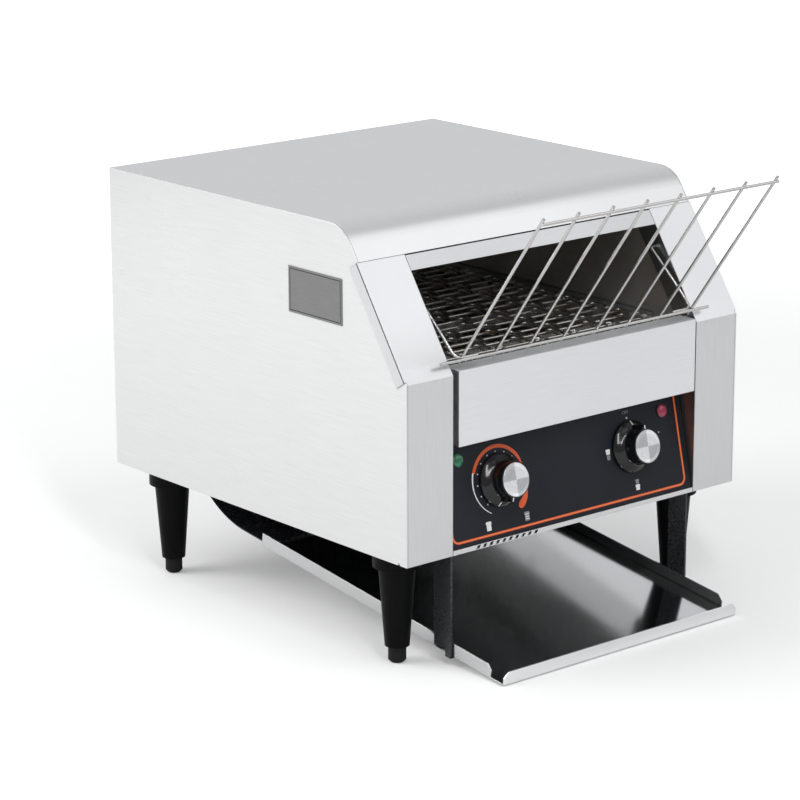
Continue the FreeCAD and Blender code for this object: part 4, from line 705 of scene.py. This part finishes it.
def makeRack():
    lean = math.radians(rack["lean"])
    up = Vector((0, -math.sin(lean), math.cos(lean)))
    face = Vector((0, -math.cos(lean), -math.sin(lean)))
    foot = Vector((0, rack["footY"], rack["footZ"]))
    crown = foot + up * rack["height"]
    radius = rack["wireRadius"]
    topHalf = rack["span"] / 2 + radius
    points = [foot - Vector((rack["rodHalf"], 0, 0)),
              foot + Vector((rack["rodHalf"], 0, 0)),
              crown + Vector((rack["centreX"] - topHalf, 0, 0)),
              crown + Vector((rack["centreX"] + topHalf, 0, 0))]
    paths = [(0, 1), (2, 3)]
    bends = [rack["bend"]] * len(points)
    behind, above = rack["behind"]
    low = foot + Vector((0, 2 * radius * behind, 2 * radius * above))
    for side in (-1, 1):
        arm = [(side * rack["armEndX"], *rack["pivot"]), (side * rack["armX"], *rack["pivot"])]
        arm += [(side * rack["armX"], *bend) for bend in reversed(rack["armBends"])]
        arm += [(side * rack["armX"], low.y, low.z),
                (side * (rack["armX"] - rack["armFoot"]), low.y, low.z)]
        paths.append(tuple(range(len(points), len(points) + len(arm))))
        points += [Vector(p) for p in arm]
        bends += [rack["pivotBend"]] * 2 + [rack["bend"]] * (len(arm) - 2)
    first = foot - up * rack["tail"] - face * 2 * radius * rack["inFront"]
    inputs = {
        "Wire Count": rack["wireCount"],
        "Wire Pitch": rack["span"] / (rack["wireCount"] - 1),
        "First Wire": (rack["centreX"] - rack["span"] / 2, first.y, first.z),
        "Wire Rise": tuple(up * (rack["height"] + rack["tail"] + rack["horn"])),
        "Wire Radius": radius,
        "Material": chromeWire,
    }
    base = pointMesh("wireRackPaths", points, paths, bend=bends)
    piece = growPiece("wireRack", base, wireRackTree(inputs), inputs)
    settled(piece, "rack", "wire", "wire_rack")


makeRack()
print("wire rack made")


# wire belt, in metres
belt = {
    "frontShaft": (-0.168, 0.2408),
    "pitchRadius": 0.022,
    "toothCount": 8,
    "runCount": 18,
    "halfWidth": 0.132,
    "laneCount": 6,
    "linkWidth": 0.008,
    "stagger": 0.012,
    "wireRadius": 0.0012,
    "bend": 0.0022,
    "hookMiddle": (0.45, 1.7),  # along in pitches, up in wire radii
    "hookEnd": (1.9, 0.9),  # past the next rod and up, in wire radii
    "rodSides": 8, "hookSides": 6,
}


def beltTree(inputs):
    tree, given = newTree("wireBeltTree", inputs)
    turn = addNode(tree, "GeometryNodeInputNamedAttribute", {"Name": "turn"}, data_type="FLOAT")
    odd = addNode(tree, "GeometryNodeInputNamedAttribute", {"Name": "odd"}, data_type="FLOAT")
    isOdd = addNode(tree, "FunctionNodeCompare", {"A": odd.outputs[0], "B": 0.5}, operation="GREATER_THAN")
    isEven = addNode(tree, "FunctionNodeBooleanMath", {0: isOdd.outputs[0]}, operation="NOT")
    angle = addNode(tree, "ShaderNodeCombineXYZ", {"X": turn.outputs[0]})
    width = addNode(tree, "ShaderNodeMath", {0: given["Lane Pitch"], 1: given["Lane Count"]},
                    operation="MULTIPLY")
    half = addNode(tree, "ShaderNodeMath", {0: width.outputs[0], 1: 0.5}, operation="MULTIPLY")
    minus = addNode(tree, "ShaderNodeMath", {0: half.outputs[0], 1: -1.0}, operation="MULTIPLY")
    start = addNode(tree, "ShaderNodeCombineXYZ", {"X": minus.outputs[0]})
    end = addNode(tree, "ShaderNodeCombineXYZ", {"X": half.outputs[0]})
    line = addNode(tree, "GeometryNodeCurvePrimitiveLine", {"Start": start.outputs[0], "End": end.outputs[0]})
    rod = roundWire(tree, line.outputs[0], given["Wire Radius"], belt["rodSides"])
    # the hook comes in as a template's path, and gets its bends and its round section here
    hook = addNode(tree, "GeometryNodeObjectInfo", {"Object": given["Hook Path"]})
    path = addNode(tree, "GeometryNodeMeshToCurve", {"Mesh": hook.outputs["Geometry"]})
    bent = filleted(tree, path.outputs[0], given["Bend Radius"], 2)
    loop = roundWire(tree, bent, given["Wire Radius"], belt["hookSides"])
    step = addNode(tree, "ShaderNodeCombineXYZ", {"X": given["Lane Pitch"]})
    halfLane = addNode(tree, "ShaderNodeMath", {0: given["Lane Pitch"], 1: 0.5}, operation="MULTIPLY")
    joined = []
    for staggered in (False, True):
        offset = summed(tree, halfLane.outputs[0], minus.outputs[0])
        if staggered:
            offset = summed(tree, offset, given["Stagger"])
        first = addNode(tree, "ShaderNodeCombineXYZ", {"X": offset})
        lanes = addNode(tree, "GeometryNodeMeshLine", {
            "Count": given["Lane Count"], "Start Location": first.outputs[0], "Offset": step.outputs[0],
        }, mode="OFFSET")
        hooks = addNode(tree, "GeometryNodeInstanceOnPoints", {"Points": lanes.outputs[0], "Instance": loop})
        strand = addNode(tree, "GeometryNodeJoinGeometry")
        tree.links.new(rod, strand.inputs[0])
        tree.links.new(hooks.outputs[0], strand.inputs[0])
        joined.append(strand.outputs[0])
    both = addNode(tree, "GeometryNodeJoinGeometry")
    for strand, chosen in ((joined[0], isEven.outputs[0]), (joined[1], isOdd.outputs[0])):
        laid = addNode(tree, "GeometryNodeInstanceOnPoints", {
            "Points": given["Geometry"], "Instance": strand, "Selection": chosen,
            "Rotation": angle.outputs[0]})
        tree.links.new(laid.outputs[0], both.inputs[0])
    closeTree(tree, both.outputs[0], given["Material"])
    return tree


def beltPoints():
    # one point for each strand, along the top run, round the rear shaft and back
    radius = belt["pitchRadius"]
    teeth = belt["toothCount"]
    pitch = 2 * radius * math.sin(math.pi / teeth)
    y, z = belt["frontShaft"]
    rear = y + belt["runCount"] * pitch
    points = []
    for start, arrival, sign in ((y, rear, 1), (rear, y, -1)):
        for k in range(belt["runCount"]):
            points.append((start + sign * k * pitch, z + sign * radius))
        for k in range(teeth // 2):
            turn = sign * math.pi / 2 - k * 2 * math.pi / teeth
            points.append((arrival + radius * math.cos(turn), z + radius * math.sin(turn)))
    turns = []
    for k, (py, pz) in enumerate(points):
        ny, nz = points[(k + 1) % len(points)]
        turns.append(math.atan2(nz - pz, ny - py))
    return points, turns, pitch


def makeBelt():
    points, turns, pitch = beltPoints()
    radius = belt["wireRadius"]
    half = belt["linkWidth"] / 2
    along, rise = belt["hookMiddle"]
    reach, endRise = belt["hookEnd"]
    side = [(0, 0), (pitch * along, radius * rise), (pitch + radius * reach, radius * endRise)]
    corners = [(-half, y, z) for y, z in side] + [(half, y, z) for y, z in reversed(side)]
    hookPath = pointMesh("hookPath", corners, [range(len(corners))])
    template = placedObject("hookTemplate", hookPath)
    inputs = {
        "Lane Count": belt["laneCount"],
        "Lane Pitch": 2 * belt["halfWidth"] / belt["laneCount"],
        "Stagger": belt["stagger"],
        "Wire Radius": radius,
        "Bend Radius": belt["bend"],
        "Hook Path": template,
        "Material": beltWire,
    }
    base = pointMesh("beltPoints", [(0, y, z) for y, z in points], (), turn=turns,
                     odd=[float(k % 2) for k in range(len(points))])
    piece = growPiece("wireBelt", base, beltTree(inputs), inputs)
    bpy.data.objects.remove(template)
    settled(piece, "housing", "belt_wire", "conveyor_belt")


makeBelt()
print("wire belt made")


# screws, in metres
screw = {
    "headRadius": 0.0035, "headRise": 0.0012, "sunk": 0.0002,
    "domeShares": [(1, 0.45), (0.93, 0.72), (0.78, 0.9), (0.45, 0.99), (0, 1)],
    "twist": 3.0, "seed": 7,
    "rearX": 0.186, "rearZ": [0.115, 0.245, 0.363], "rearY": 0.212,
    "hemX": 0.158, "hemY": [-0.188, 0.0, 0.188], "hemZ": 0.103,
    "recessWidth": 0.0007, "recessReach": 0.0021, "recessDepth": 0.0007,
}


def screwHead():
    form = bmesh.new()
    radius, rise = screw["headRadius"], screw["headRise"]
    profile = [(0, -screw["sunk"]), (radius, -screw["sunk"])]
    profile += [(radius * across, rise * up) for across, up in screw["domeShares"]]
    lathed(form, profile, 28)
    head = bpy.data.meshes.new("screwHead")
    form.to_mesh(head)
    form.free()
    shell = placedObject("screwHead", head)
    cross = bmesh.new()
    width, reach, depth = screw["recessWidth"], screw["recessReach"], screw["recessDepth"]
    for turn in (0, math.pi / 2):
        place = Matrix.Translation((0, 0, rise)) @ Matrix.Rotation(turn, 4, "Z")
        bmesh.ops.create_cube(cross, size=1, matrix=place @ Matrix.Diagonal((2 * reach, width, 2 * depth, 1)))
    crossMesh = bpy.data.meshes.new("crossCutter")
    cross.to_mesh(crossMesh)
    cross.free()
    cutter = placedObject("crossCutter", crossMesh)
    carve = shell.modifiers.new("crossRecess", "BOOLEAN")
    carve.operation = "DIFFERENCE"
    carve.solver = "EXACT"
    carve.use_self = True
    carve.object = cutter
    carved = evaluatedMesh(shell)
    shell.modifiers.remove(carve)
    bpy.data.objects.remove(cutter)
    shell.data = carved
    return shell


def screwTree(inputs):
    tree, given = newTree("screwTree", inputs)
    facing = addNode(tree, "GeometryNodeInputNamedAttribute", {"Name": "facing"}, data_type="FLOAT_VECTOR")
    turned = addNode(tree, "FunctionNodeAlignRotationToVector", {"Vector": facing.outputs[0]}, axis="Z")
    head = addNode(tree, "GeometryNodeObjectInfo", {"Object": given["Head"]})
    twist = addNode(tree, "FunctionNodeRandomValue", {
        "Min": 0.0, "Max": given["Twist"], "Seed": screw["seed"]}, data_type="FLOAT")
    spin = addNode(tree, "ShaderNodeCombineXYZ", {"Z": twist.outputs[1]})
    heads = addNode(tree, "GeometryNodeInstanceOnPoints", {
        "Points": given["Geometry"], "Instance": head.outputs["Geometry"], "Rotation": turned.outputs[0]})
    twisted = addNode(tree, "GeometryNodeRotateInstances", {
        "Instances": heads.outputs[0], "Rotation": spin.outputs[0]})
    closeTree(tree, twisted.outputs[0], given["Material"], False)
    return tree


def makeScrews():
    points, facing = [], []
    for side in (-1, 1):
        for z in screw["rearZ"]:
            points.append((side * screw["rearX"], screw["rearY"], z))
            facing.append((0, 1, 0))
        for y in screw["hemY"]:
            points.append((side * screw["hemX"], y, screw["hemZ"]))
            facing.append((0, 0, -1))
    head = screwHead()
    inputs = {"Head": head, "Twist": screw["twist"], "Material": finishes["zinc"]}
    base = pointMesh("screwPlaces", points, (), facing=facing)
    piece = growPiece("housingScrews", base, screwTree(inputs), inputs)
    bpy.data.objects.remove(head)
    settled(piece, "housing", "zinc", "housing_screws")


makeScrews()
print("screws made")


# control panel print, knobs and lamps, in millimetres in the panel's own plane
panel = {
    "tilt": 12.8,
    "foot": (0, -0.211, 0.1076),  # metres
    "inkRise": 0.12,
    "knobUp": 50.0,
    "speedX": -82.2, "selectorX": 77.4,
    "outlineLeft": -143.5, "outlineRight": 138.1,
    "outlineLow": 4.6, "outlineTop": 99.6,
    "outlineWide": 2.2, "outlineCorner": 6.5,
    "coreShare": 0.3,  # width of the rule's pale core
}
tilt = math.radians(panel["tilt"])
panelTurn = Matrix((
    (1, 0, 0, 0),
    (0, math.sin(tilt), -math.cos(tilt), 0),
    (0, math.cos(tilt), math.sin(tilt), 0),
    (0, 0, 0, 1),
))
panelPlace = Matrix.Translation(panel["foot"]) @ panelTurn


def onPanel(x, up, out=0.0):
    return panelPlace @ Matrix.Translation((x * mm, up * mm, out * mm))


def ribbon(form, path, widths, rise=panel["inkRise"], low=0.0):
    rows = []
    for k, (x, y) in enumerate(path):
        before = Vector(path[max(k - 1, 0)])
        after = Vector(path[min(k + 1, len(path) - 1)])
        across = (after - before).normalized().orthogonal() * widths[k] / 2
        left, right = Vector((x, y)) + across, Vector((x, y)) - across
        rows.append([form.verts.new((point.x * mm, point.y * mm, height * mm))
                     for point, height in ((left, low), (right, low), (right, rise), (left, rise))])
    for a, b in zip(rows, rows[1:]):
        for k in range(4):
            n = (k + 1) % 4
            form.faces.new((a[k], a[n], b[n], b[k]))
    form.faces.new(rows[0][::-1])
    form.faces.new(rows[-1])


def plateau(form, outline, rise=panel["inkRise"], low=0.0):
    base = [form.verts.new((x * mm, y * mm, low * mm)) for x, y in outline]
    top = [form.verts.new((x * mm, y * mm, rise * mm)) for x, y in outline]
    form.faces.new(top)
    form.faces.new(base[::-1])
    for k in range(len(outline)):
        n = (k + 1) % len(outline)
        form.faces.new((base[k], base[n], top[n], top[k]))


def inkPiece(name, form, material):
    seatForm(form, panelPlace)
    pieceFrom(name, form, material, "housing", "panel_film")


def headingPoint(centre, radius, heading):
    turn = math.radians(heading)
    return centre[0] + radius * math.sin(turn), centre[1] + radius * math.cos(turn)


def evenSteps(start, end, count):
    return [start + (end - start) * k / count for k in range(count + 1)]


def arcPath(centre, radius, start, end, count):
    # headings run clockwise from straight up
    return [headingPoint(centre, radius, heading) for heading in evenSteps(start, end, count)]


def roundCorner(centre, radius, start, end, count=8):
    # angles run anticlockwise from the right
    turns = [math.radians(angle) for angle in evenSteps(start, end, count)]
    return [(centre[0] + radius * math.cos(turn), centre[1] + radius * math.sin(turn)) for turn in turns]


def outlinePath():
    left, right = panel["outlineLeft"], panel["outlineRight"]
    low, top, corner = panel["outlineLow"], panel["outlineTop"], panel["outlineCorner"]
    path = [(left, top), (left, low + corner + 2)]
    path += roundCorner((left + corner, low + corner), corner, 180, 270)
    path += roundCorner((right - corner, low + corner), corner, 270, 360)
    return path + [(right, low + corner + 2), (right, top)]


# scale round the speed knob: dots, two arcs that narrow to a point, and a drop
scale = {
    "centre": (-82.4, 50.0),
    "dotRadius": 25.1, "dotCount": 9, "dotFirst": -138.2, "dotStep": 23.1, "dotSize": 0.62,
    "hotArc": (-69, 72), "hotRadius": 29.6, "hotWide": 3.2, "hotSteps": 40,
    "coolArc": (291, 207), "coolRadius": 30.4, "coolWide": 1.5, "coolSteps": 28,
    "dropArc": (113, 146), "dropRadius": 33.8, "dropWide": 6.6, "dropSteps": 16,
    "dropEnd": [0.94, 0.74, 0.34],
}
# small plain signs on the panel: centre, width, height
signs = {
    "pale": [((-101.4, 12.4), 6.4, 8.0), ((48.8, 50.1), 5.6, 4.8), ((79.2, 12.4), 5.6, 5.2)],
    "dim": [((48.9, 44.9), 4.6, 4.2), ((79.3, 17.6), 4.6, 4.0), ((-56.4, 12.7), 6.4, 8.0)],
    "dots": [((77.1, 76.2), 0.9), ((114.0, 56.5), 0.6)],  # place, radius
    "barX": (-58.4, -54.4), "barLow": 10.2, "barStep": 2.0, "barWide": 0.7, "barCount": 3,
    "word": "OFF", "wordPlace": (76.2, 81.3), "wordSize": 4.6,
}


def scaleDotsTree(inputs):
    tree, given = newTree("scaleDotsTree", inputs)
    points = addNode(tree, "GeometryNodePoints", {"Count": given["Dot Count"]})
    index = addNode(tree, "GeometryNodeInputIndex")
    swept = addNode(tree, "ShaderNodeMath", {0: index.outputs[0], 1: given["Step"]}, operation="MULTIPLY")
    turn = addNode(tree, "ShaderNodeMath", {0: swept.outputs[0], 1: given["First"]}, operation="ADD")
    sine = addNode(tree, "ShaderNodeMath", {0: turn.outputs[0]}, operation="SINE")
    cosine = addNode(tree, "ShaderNodeMath", {0: turn.outputs[0]}, operation="COSINE")
    place = addNode(tree, "ShaderNodeCombineXYZ", {"X": sine.outputs[0], "Y": cosine.outputs[0]})
    ring = addNode(tree, "ShaderNodeVectorMath", {0: place.outputs[0], "Scale": given["Ring Radius"]},
                   operation="SCALE")
    spot = addNode(tree, "ShaderNodeVectorMath", {0: ring.outputs[0], 1: given["Centre"]}, operation="ADD")
    moved = addNode(tree, "GeometryNodeSetPosition", {
        "Geometry": points.outputs[0], "Position": spot.outputs[0]})
    dot = addNode(tree, "GeometryNodeMeshCylinder", {
        "Vertices": 14, "Radius": given["Dot Radius"], "Depth": given["Dot Rise"]})
    dots = addNode(tree, "GeometryNodeInstanceOnPoints", {
        "Points": moved.outputs[0], "Instance": dot.outputs["Mesh"]})
    closeTree(tree, dots.outputs[0], given["Material"], False)
    return tree


def lobedSign(centre, width, height):
    half, high = width / 2, height / 2
    lobe, waist = half * 0.42, half * 0.8
    outline = [(-waist, -high), (waist, -high), (waist, high - 2 * lobe)]
    outline += roundCorner((half - lobe, high - lobe), lobe, -40, 90, 6)
    outline += roundCorner((-half + lobe, high - lobe), lobe, 90, 220, 6)
    outline += [(-waist, high - 2 * lobe)]
    return [(x + centre[0], y + centre[1]) for x, y in outline]


def makeRule():
    path = outlinePath()
    rule = bmesh.new()
    ribbon(rule, path, [panel["outlineWide"]] * len(path))
    inkPiece("panelRule", rule, orangeInk)
    core = bmesh.new()
    ribbon(core, path, [panel["outlineWide"] * panel["coreShare"]] * len(path), panel["inkRise"] + 0.04, 0.05)
    inkPiece("panelRuleCore", core, paleOrangeInk)


def makeScale():
    centre = scale["centre"]
    hot = bmesh.new()
    steps = scale["hotSteps"]
    path = arcPath(centre, scale["hotRadius"], *scale["hotArc"], steps)
    ribbon(hot, path, [scale["hotWide"] * min(1.0, 0.35 + (steps - k) / 8) for k in range(steps + 1)])
    steps = scale["dropSteps"]
    path = arcPath(centre, scale["dropRadius"], *scale["dropArc"], steps)
    fat = scale["dropWide"]
    widths = [max(0.4, fat * math.sin(0.5 * math.pi * min(k / 12, 1))) for k in range(steps + 1)]
    widths[14:] = [fat * share for share in scale["dropEnd"]]
    ribbon(hot, path, widths)
    inkPiece("scaleHot", hot, orangeInk)

    cool = bmesh.new()
    steps = scale["coolSteps"]
    path = arcPath(centre, scale["coolRadius"], *scale["coolArc"], steps)
    ribbon(cool, path, [scale["coolWide"] * (1 - 0.62 * k / steps) for k in range(steps + 1)])
    inkPiece("scaleCool", cool, whiteInk)

    rise = panel["inkRise"] * mm
    inputs = {
        "Dot Count": scale["dotCount"], "First": math.radians(scale["dotFirst"]),
        "Step": math.radians(scale["dotStep"]), "Ring Radius": scale["dotRadius"] * mm,
        "Centre": (centre[0] * mm, centre[1] * mm, rise / 2), "Dot Radius": scale["dotSize"] * mm,
        "Dot Rise": rise, "Material": whiteInk,
    }
    dots = growPiece("scaleDots", pointMesh("noPoints", [(0, 0, 0)]), scaleDotsTree(inputs), inputs)
    dots.data.transform(panelPlace)
    settled(dots, "housing", "panel_film")


def makeSigns():
    pale = bmesh.new()
    for spot, wide, tall in signs["pale"]:
        plateau(pale, lobedSign(spot, wide, tall))
    for spot, size in signs["dots"]:
        plateau(pale, roundCorner(spot, size, 0, 348, 15))
    inkPiece("paleIcons", pale, whiteInk)
    dim = bmesh.new()
    for spot, wide, tall in signs["dim"]:
        plateau(dim, lobedSign(spot, wide, tall))
    inkPiece("dimIcons", dim, greyInk)
    bars = bmesh.new()
    left, right = signs["barX"]
    for k in range(signs["barCount"]):
        low = signs["barLow"] + k * signs["barStep"]
        high = low + signs["barWide"]
        plateau(bars, [(left, low), (right, low), (right, high), (left, high)], panel["inkRise"] + 0.05, 0.06)
    inkPiece("iconBars", bars, whiteInk)


def makeOffWord():
    rise = panel["inkRise"]
    curve = bpy.data.curves.new("offWord", "FONT")
    curve.body = signs["word"]
    curve.size = signs["wordSize"] * mm
    curve.align_x = "CENTER"
    curve.align_y = "CENTER"
    curve.extrude = rise * mm / 2
    curve.resolution_u = 4
    words = placedObject("offWordCurve", curve)
    mesh = evaluatedMesh(words)
    bpy.data.objects.remove(words)
    mesh.transform(onPanel(*signs["wordPlace"], rise / 2))
    mesh.materials.clear()
    mesh.materials.append(greyInk)
    settled(placedObject("offWord", mesh), "housing", "panel_film")


makeRule()
makeScale()
makeSigns()
makeOffWord()
print("panel printed")


# knobs, in millimetres above the panel
knob = {
    "profile": [
        (3.0, 0.8), (23.3, 0.8), (23.7, 1.1), (23.8, 1.6), (23.8, 2.7), (23.6, 3.3), (23.1, 3.9), (22.3, 4.7),
        (21.2, 5.6), (19.8, 6.6), (18.2, 7.7), (17.0, 8.7), (16.35, 9.6), (16.05, 10.6), (16.0, 12.0),
        (16.0, 21.2), (15.9, 21.9), (15.6, 22.4), (15.25, 22.5), (15.05, 22.2), (15.0, 20.8), (3.0, 20.8),
    ],
    "nib": [(-7.8, 12.6), (-3.45, 15.9), (-1.3, 18.9), (-0.5, 19.4)],  # one side of its outline
    "nibTop": 21.9, "nibLow": 3.0, "nibRound": 0.35,
    "lineFrom": 15.7, "lineTo": 19.2, "lineWide": [1.1, 1.0],
    "tick": [(19.9, 6.55), (20.8, 5.9), (21.9, 5.05), (22.9, 4.1), (23.45, 3.5)], "tickHalf": 0.55,
    # a rounded rim, then a shallow dish
    "disc": [
        (0, 20.8), (14.88, 20.8), (14.88, 22.45), (14.63, 22.78), (14.18, 22.9), (13.58, 22.9),
        (13.28, 22.72), (10.416, 22.738), (6.696, 22.753), (2.976, 22.768), (0.8928, 22.7764), (0, 22.78),
    ],
    # turns the disc's painted highlight sectors
    "paintedHighlightTurn": 45,
    "sides": 96,
}


def knobMarks(form, heading):
    turn = Matrix.Rotation(-math.radians(heading), 4, "Z")
    ends = [(0, knob["lineFrom"]), (0, knob["lineTo"])]
    ribbon(form, ends, knob["lineWide"], knob["nibTop"] + 0.12, knob["nibTop"] - 0.3)
    # the tick on the skirt follows its dome
    half = knob["tickHalf"]
    section = [(-half, -0.3), (half, -0.3), (half, 0.14), (-half, 0.14)]
    for step in zip(knob["tick"], knob["tick"][1:]):
        rows = [[form.verts.new((x * mm, reach * mm, (height + lift) * mm)) for x, lift in section]
                for reach, height in step]
        for k in range(4):
            n = (k + 1) % 4
            form.faces.new((rows[0][k], rows[0][n], rows[1][n], rows[1][k]))
        form.faces.new(rows[0][::-1])
        form.faces.new(rows[1])
    bmesh.ops.transform(form, matrix=turn, verts=form.verts)


def layDiscMap(disc, radius):
    # U runs once round the disc, for the painted highlight's sectors, and V from its middle to its rim, for
    # the turned grain
    layer = disc.loops.layers.uv.new("turnAndReach")
    for face in disc.faces:
        middle = face.calc_center_median()
        around = math.atan2(middle.y, middle.x)
        for loop in face.loops:
            point = loop.vert.co
            own = math.atan2(point.y, point.x) if point.xy.length > 1e-7 else around
            if own - around > math.pi:
                own -= 2 * math.pi
            elif around - own > math.pi:
                own += 2 * math.pi
            loop[layer].uv = (own / (2 * math.pi), point.xy.length / radius)


def makeKnob(name, x, heading, body, shellNode, capNode):
    place = onPanel(x, panel["knobUp"])
    shell = bmesh.new()
    lathed(shell, inMetres(knob["profile"] + knob["profile"][:1]), knob["sides"])
    bmesh.ops.remove_doubles(shell, verts=shell.verts, dist=1e-7)
    # the pointer nib stands out of the grip, its ridge rounded
    ridge = knob["nib"] + [(-x, reach) for x, reach in reversed(knob["nib"])]
    nib = bmesh.new()
    plateau(nib, ridge, knob["nibTop"], knob["nibLow"])
    bmesh.ops.bevel(nib, geom=nib.edges[:], offset=knob["nibRound"] * mm, segments=2, affect="EDGES",
                    profile=0.6)
    bmesh.ops.transform(nib, matrix=Matrix.Rotation(-math.radians(heading), 4, "Z"), verts=nib.verts)
    nibMesh = bpy.data.meshes.new("nib")
    nib.to_mesh(nibMesh)
    nib.free()
    shell.from_mesh(nibMesh)
    bpy.data.meshes.remove(nibMesh)
    seatForm(shell, place)
    pieceFrom(name + "Shell", shell, knobBlack, body, "knob_plastic", shellNode)

    marks = bmesh.new()
    knobMarks(marks, heading)
    seatForm(marks, place)
    pieceFrom(name + "Pointer", marks, whiteInk, body, "knob_plastic")

    disc = bmesh.new()
    profile = inMetres(knob["disc"])
    lathed(disc, profile, knob["sides"])
    bmesh.ops.recalc_face_normals(disc, faces=disc.faces)
    layDiscMap(disc, max(reach for reach, height in profile))
    # the disc is turned to set where its painted highlight sectors lie
    turned = place @ Matrix.Rotation(math.radians(knob["paintedHighlightTurn"]), 4, "Z")
    bmesh.ops.transform(disc, matrix=turned, verts=disc.verts)
    pieceFrom(name + "Disc", disc, discMetal, body, "knob_disc", capNode)


makeKnob("speed", panel["speedX"], 200, "speed_control", "speed_knob", "speed_knob_cap")
makeKnob("selector", panel["selectorX"], 0, "selector", "selector_knob", "selector_knob_cap")
print("knobs made")


# pilot lamps, in millimetres
pilotLamp = {
    "up": 75.2, "powerX": -126.0, "heatingX": 121.0,
    "radius": 6.0, "proud": 3.0, "body": 20.0,
    "shoulder": 0.9, "domeAngles": (0, 12, 25, 38, 50, 62, 74),
    "rim": [(0.05, 0.02), (0.95, 0.02), (1.0, 0.5), (0.75, 0.9), (0.4, 1.0), (0.05, 0.85), (0.05, 0.02)],
}


def makeLamp(name, x, lensFinish, slotName, stoodFor):
    radius, proud, deep = pilotLamp["radius"], pilotLamp["proud"], pilotLamp["body"]
    place = onPanel(x, pilotLamp["up"])
    lens = bmesh.new()
    shoulder = pilotLamp["shoulder"]
    angles = [math.radians(degrees) for degrees in pilotLamp["domeAngles"]]
    dome = [(radius * math.cos(a), shoulder + (proud - shoulder) * math.sin(a)) for a in angles]
    profile = [(0, -deep), (radius - 0.3, -deep), (radius - 0.3, 0.0), (radius, 0.4)] + dome + [(0, proud)]
    lathed(lens, inMetres(profile), 48)
    seatForm(lens, place)
    pieceFrom(name + "Lens", lens, lensFinish, "housing", slotName, stoodFor)
    ring = bmesh.new()
    lathed(ring, inMetres([(radius + out, height) for out, height in pilotLamp["rim"]]), 48)
    bmesh.ops.remove_doubles(ring, verts=ring.verts, dist=1e-7)
    seatForm(ring, place)
    pieceFrom(name + "Bezel", ring, knobBlack, "housing", "knob_plastic")


makeLamp("power", pilotLamp["powerX"], finishes["green_lens"], "green_lens", "power_lamp")
makeLamp("heating", pilotLamp["heatingX"], finishes["red_lens"], "red_lens", "heating_lamp")
print("lamps made")


# heater coils inside the quartz tubes, in metres
coil = {"turns": 70.0, "radius": 0.0036, "wireRadius": 0.00045, "margin": 0.016, "tubeCount": 3}


def coilTree(inputs):
    tree, given = newTree("heaterCoilTree", inputs)
    helix = addNode(tree, "GeometryNodeCurveSpiral", {
        "Resolution": 9, "Rotations": given["Turns"], "Height": given["Coil Length"],
        "Start Radius": given["Coil Radius"], "End Radius": given["Coil Radius"]})
    wound = roundWire(tree, helix.outputs[0], given["Wire Radius"], 4)
    coils = addNode(tree, "GeometryNodeInstanceOnPoints", {
        "Points": given["Geometry"], "Instance": wound, "Rotation": (0, math.pi / 2, 0)})
    closeTree(tree, coils.outputs[0], given["Material"])
    return tree


def makeCoils():
    for label in ("upper", "lower"):
        low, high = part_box(label + "_heaters")
        z = (low.z + high.z) / 2
        radius = (high.z - low.z) / 2
        places = evenSteps(low.y + radius, high.y - radius, coil["tubeCount"] - 1)
        starts = pointMesh(label + "CoilStarts", [(low.x + coil["margin"], y, z) for y in places])
        inputs = {
            "Turns": coil["turns"], "Coil Radius": coil["radius"], "Wire Radius": coil["wireRadius"],
            "Coil Length": high.x - low.x - 2 * coil["margin"], "Material": coilWire,
        }
        piece = growPiece(label + "Coils", starts, coilTree(inputs), inputs)
        settled(piece, "housing", "steel")


makeCoils()
print("heater coils made")
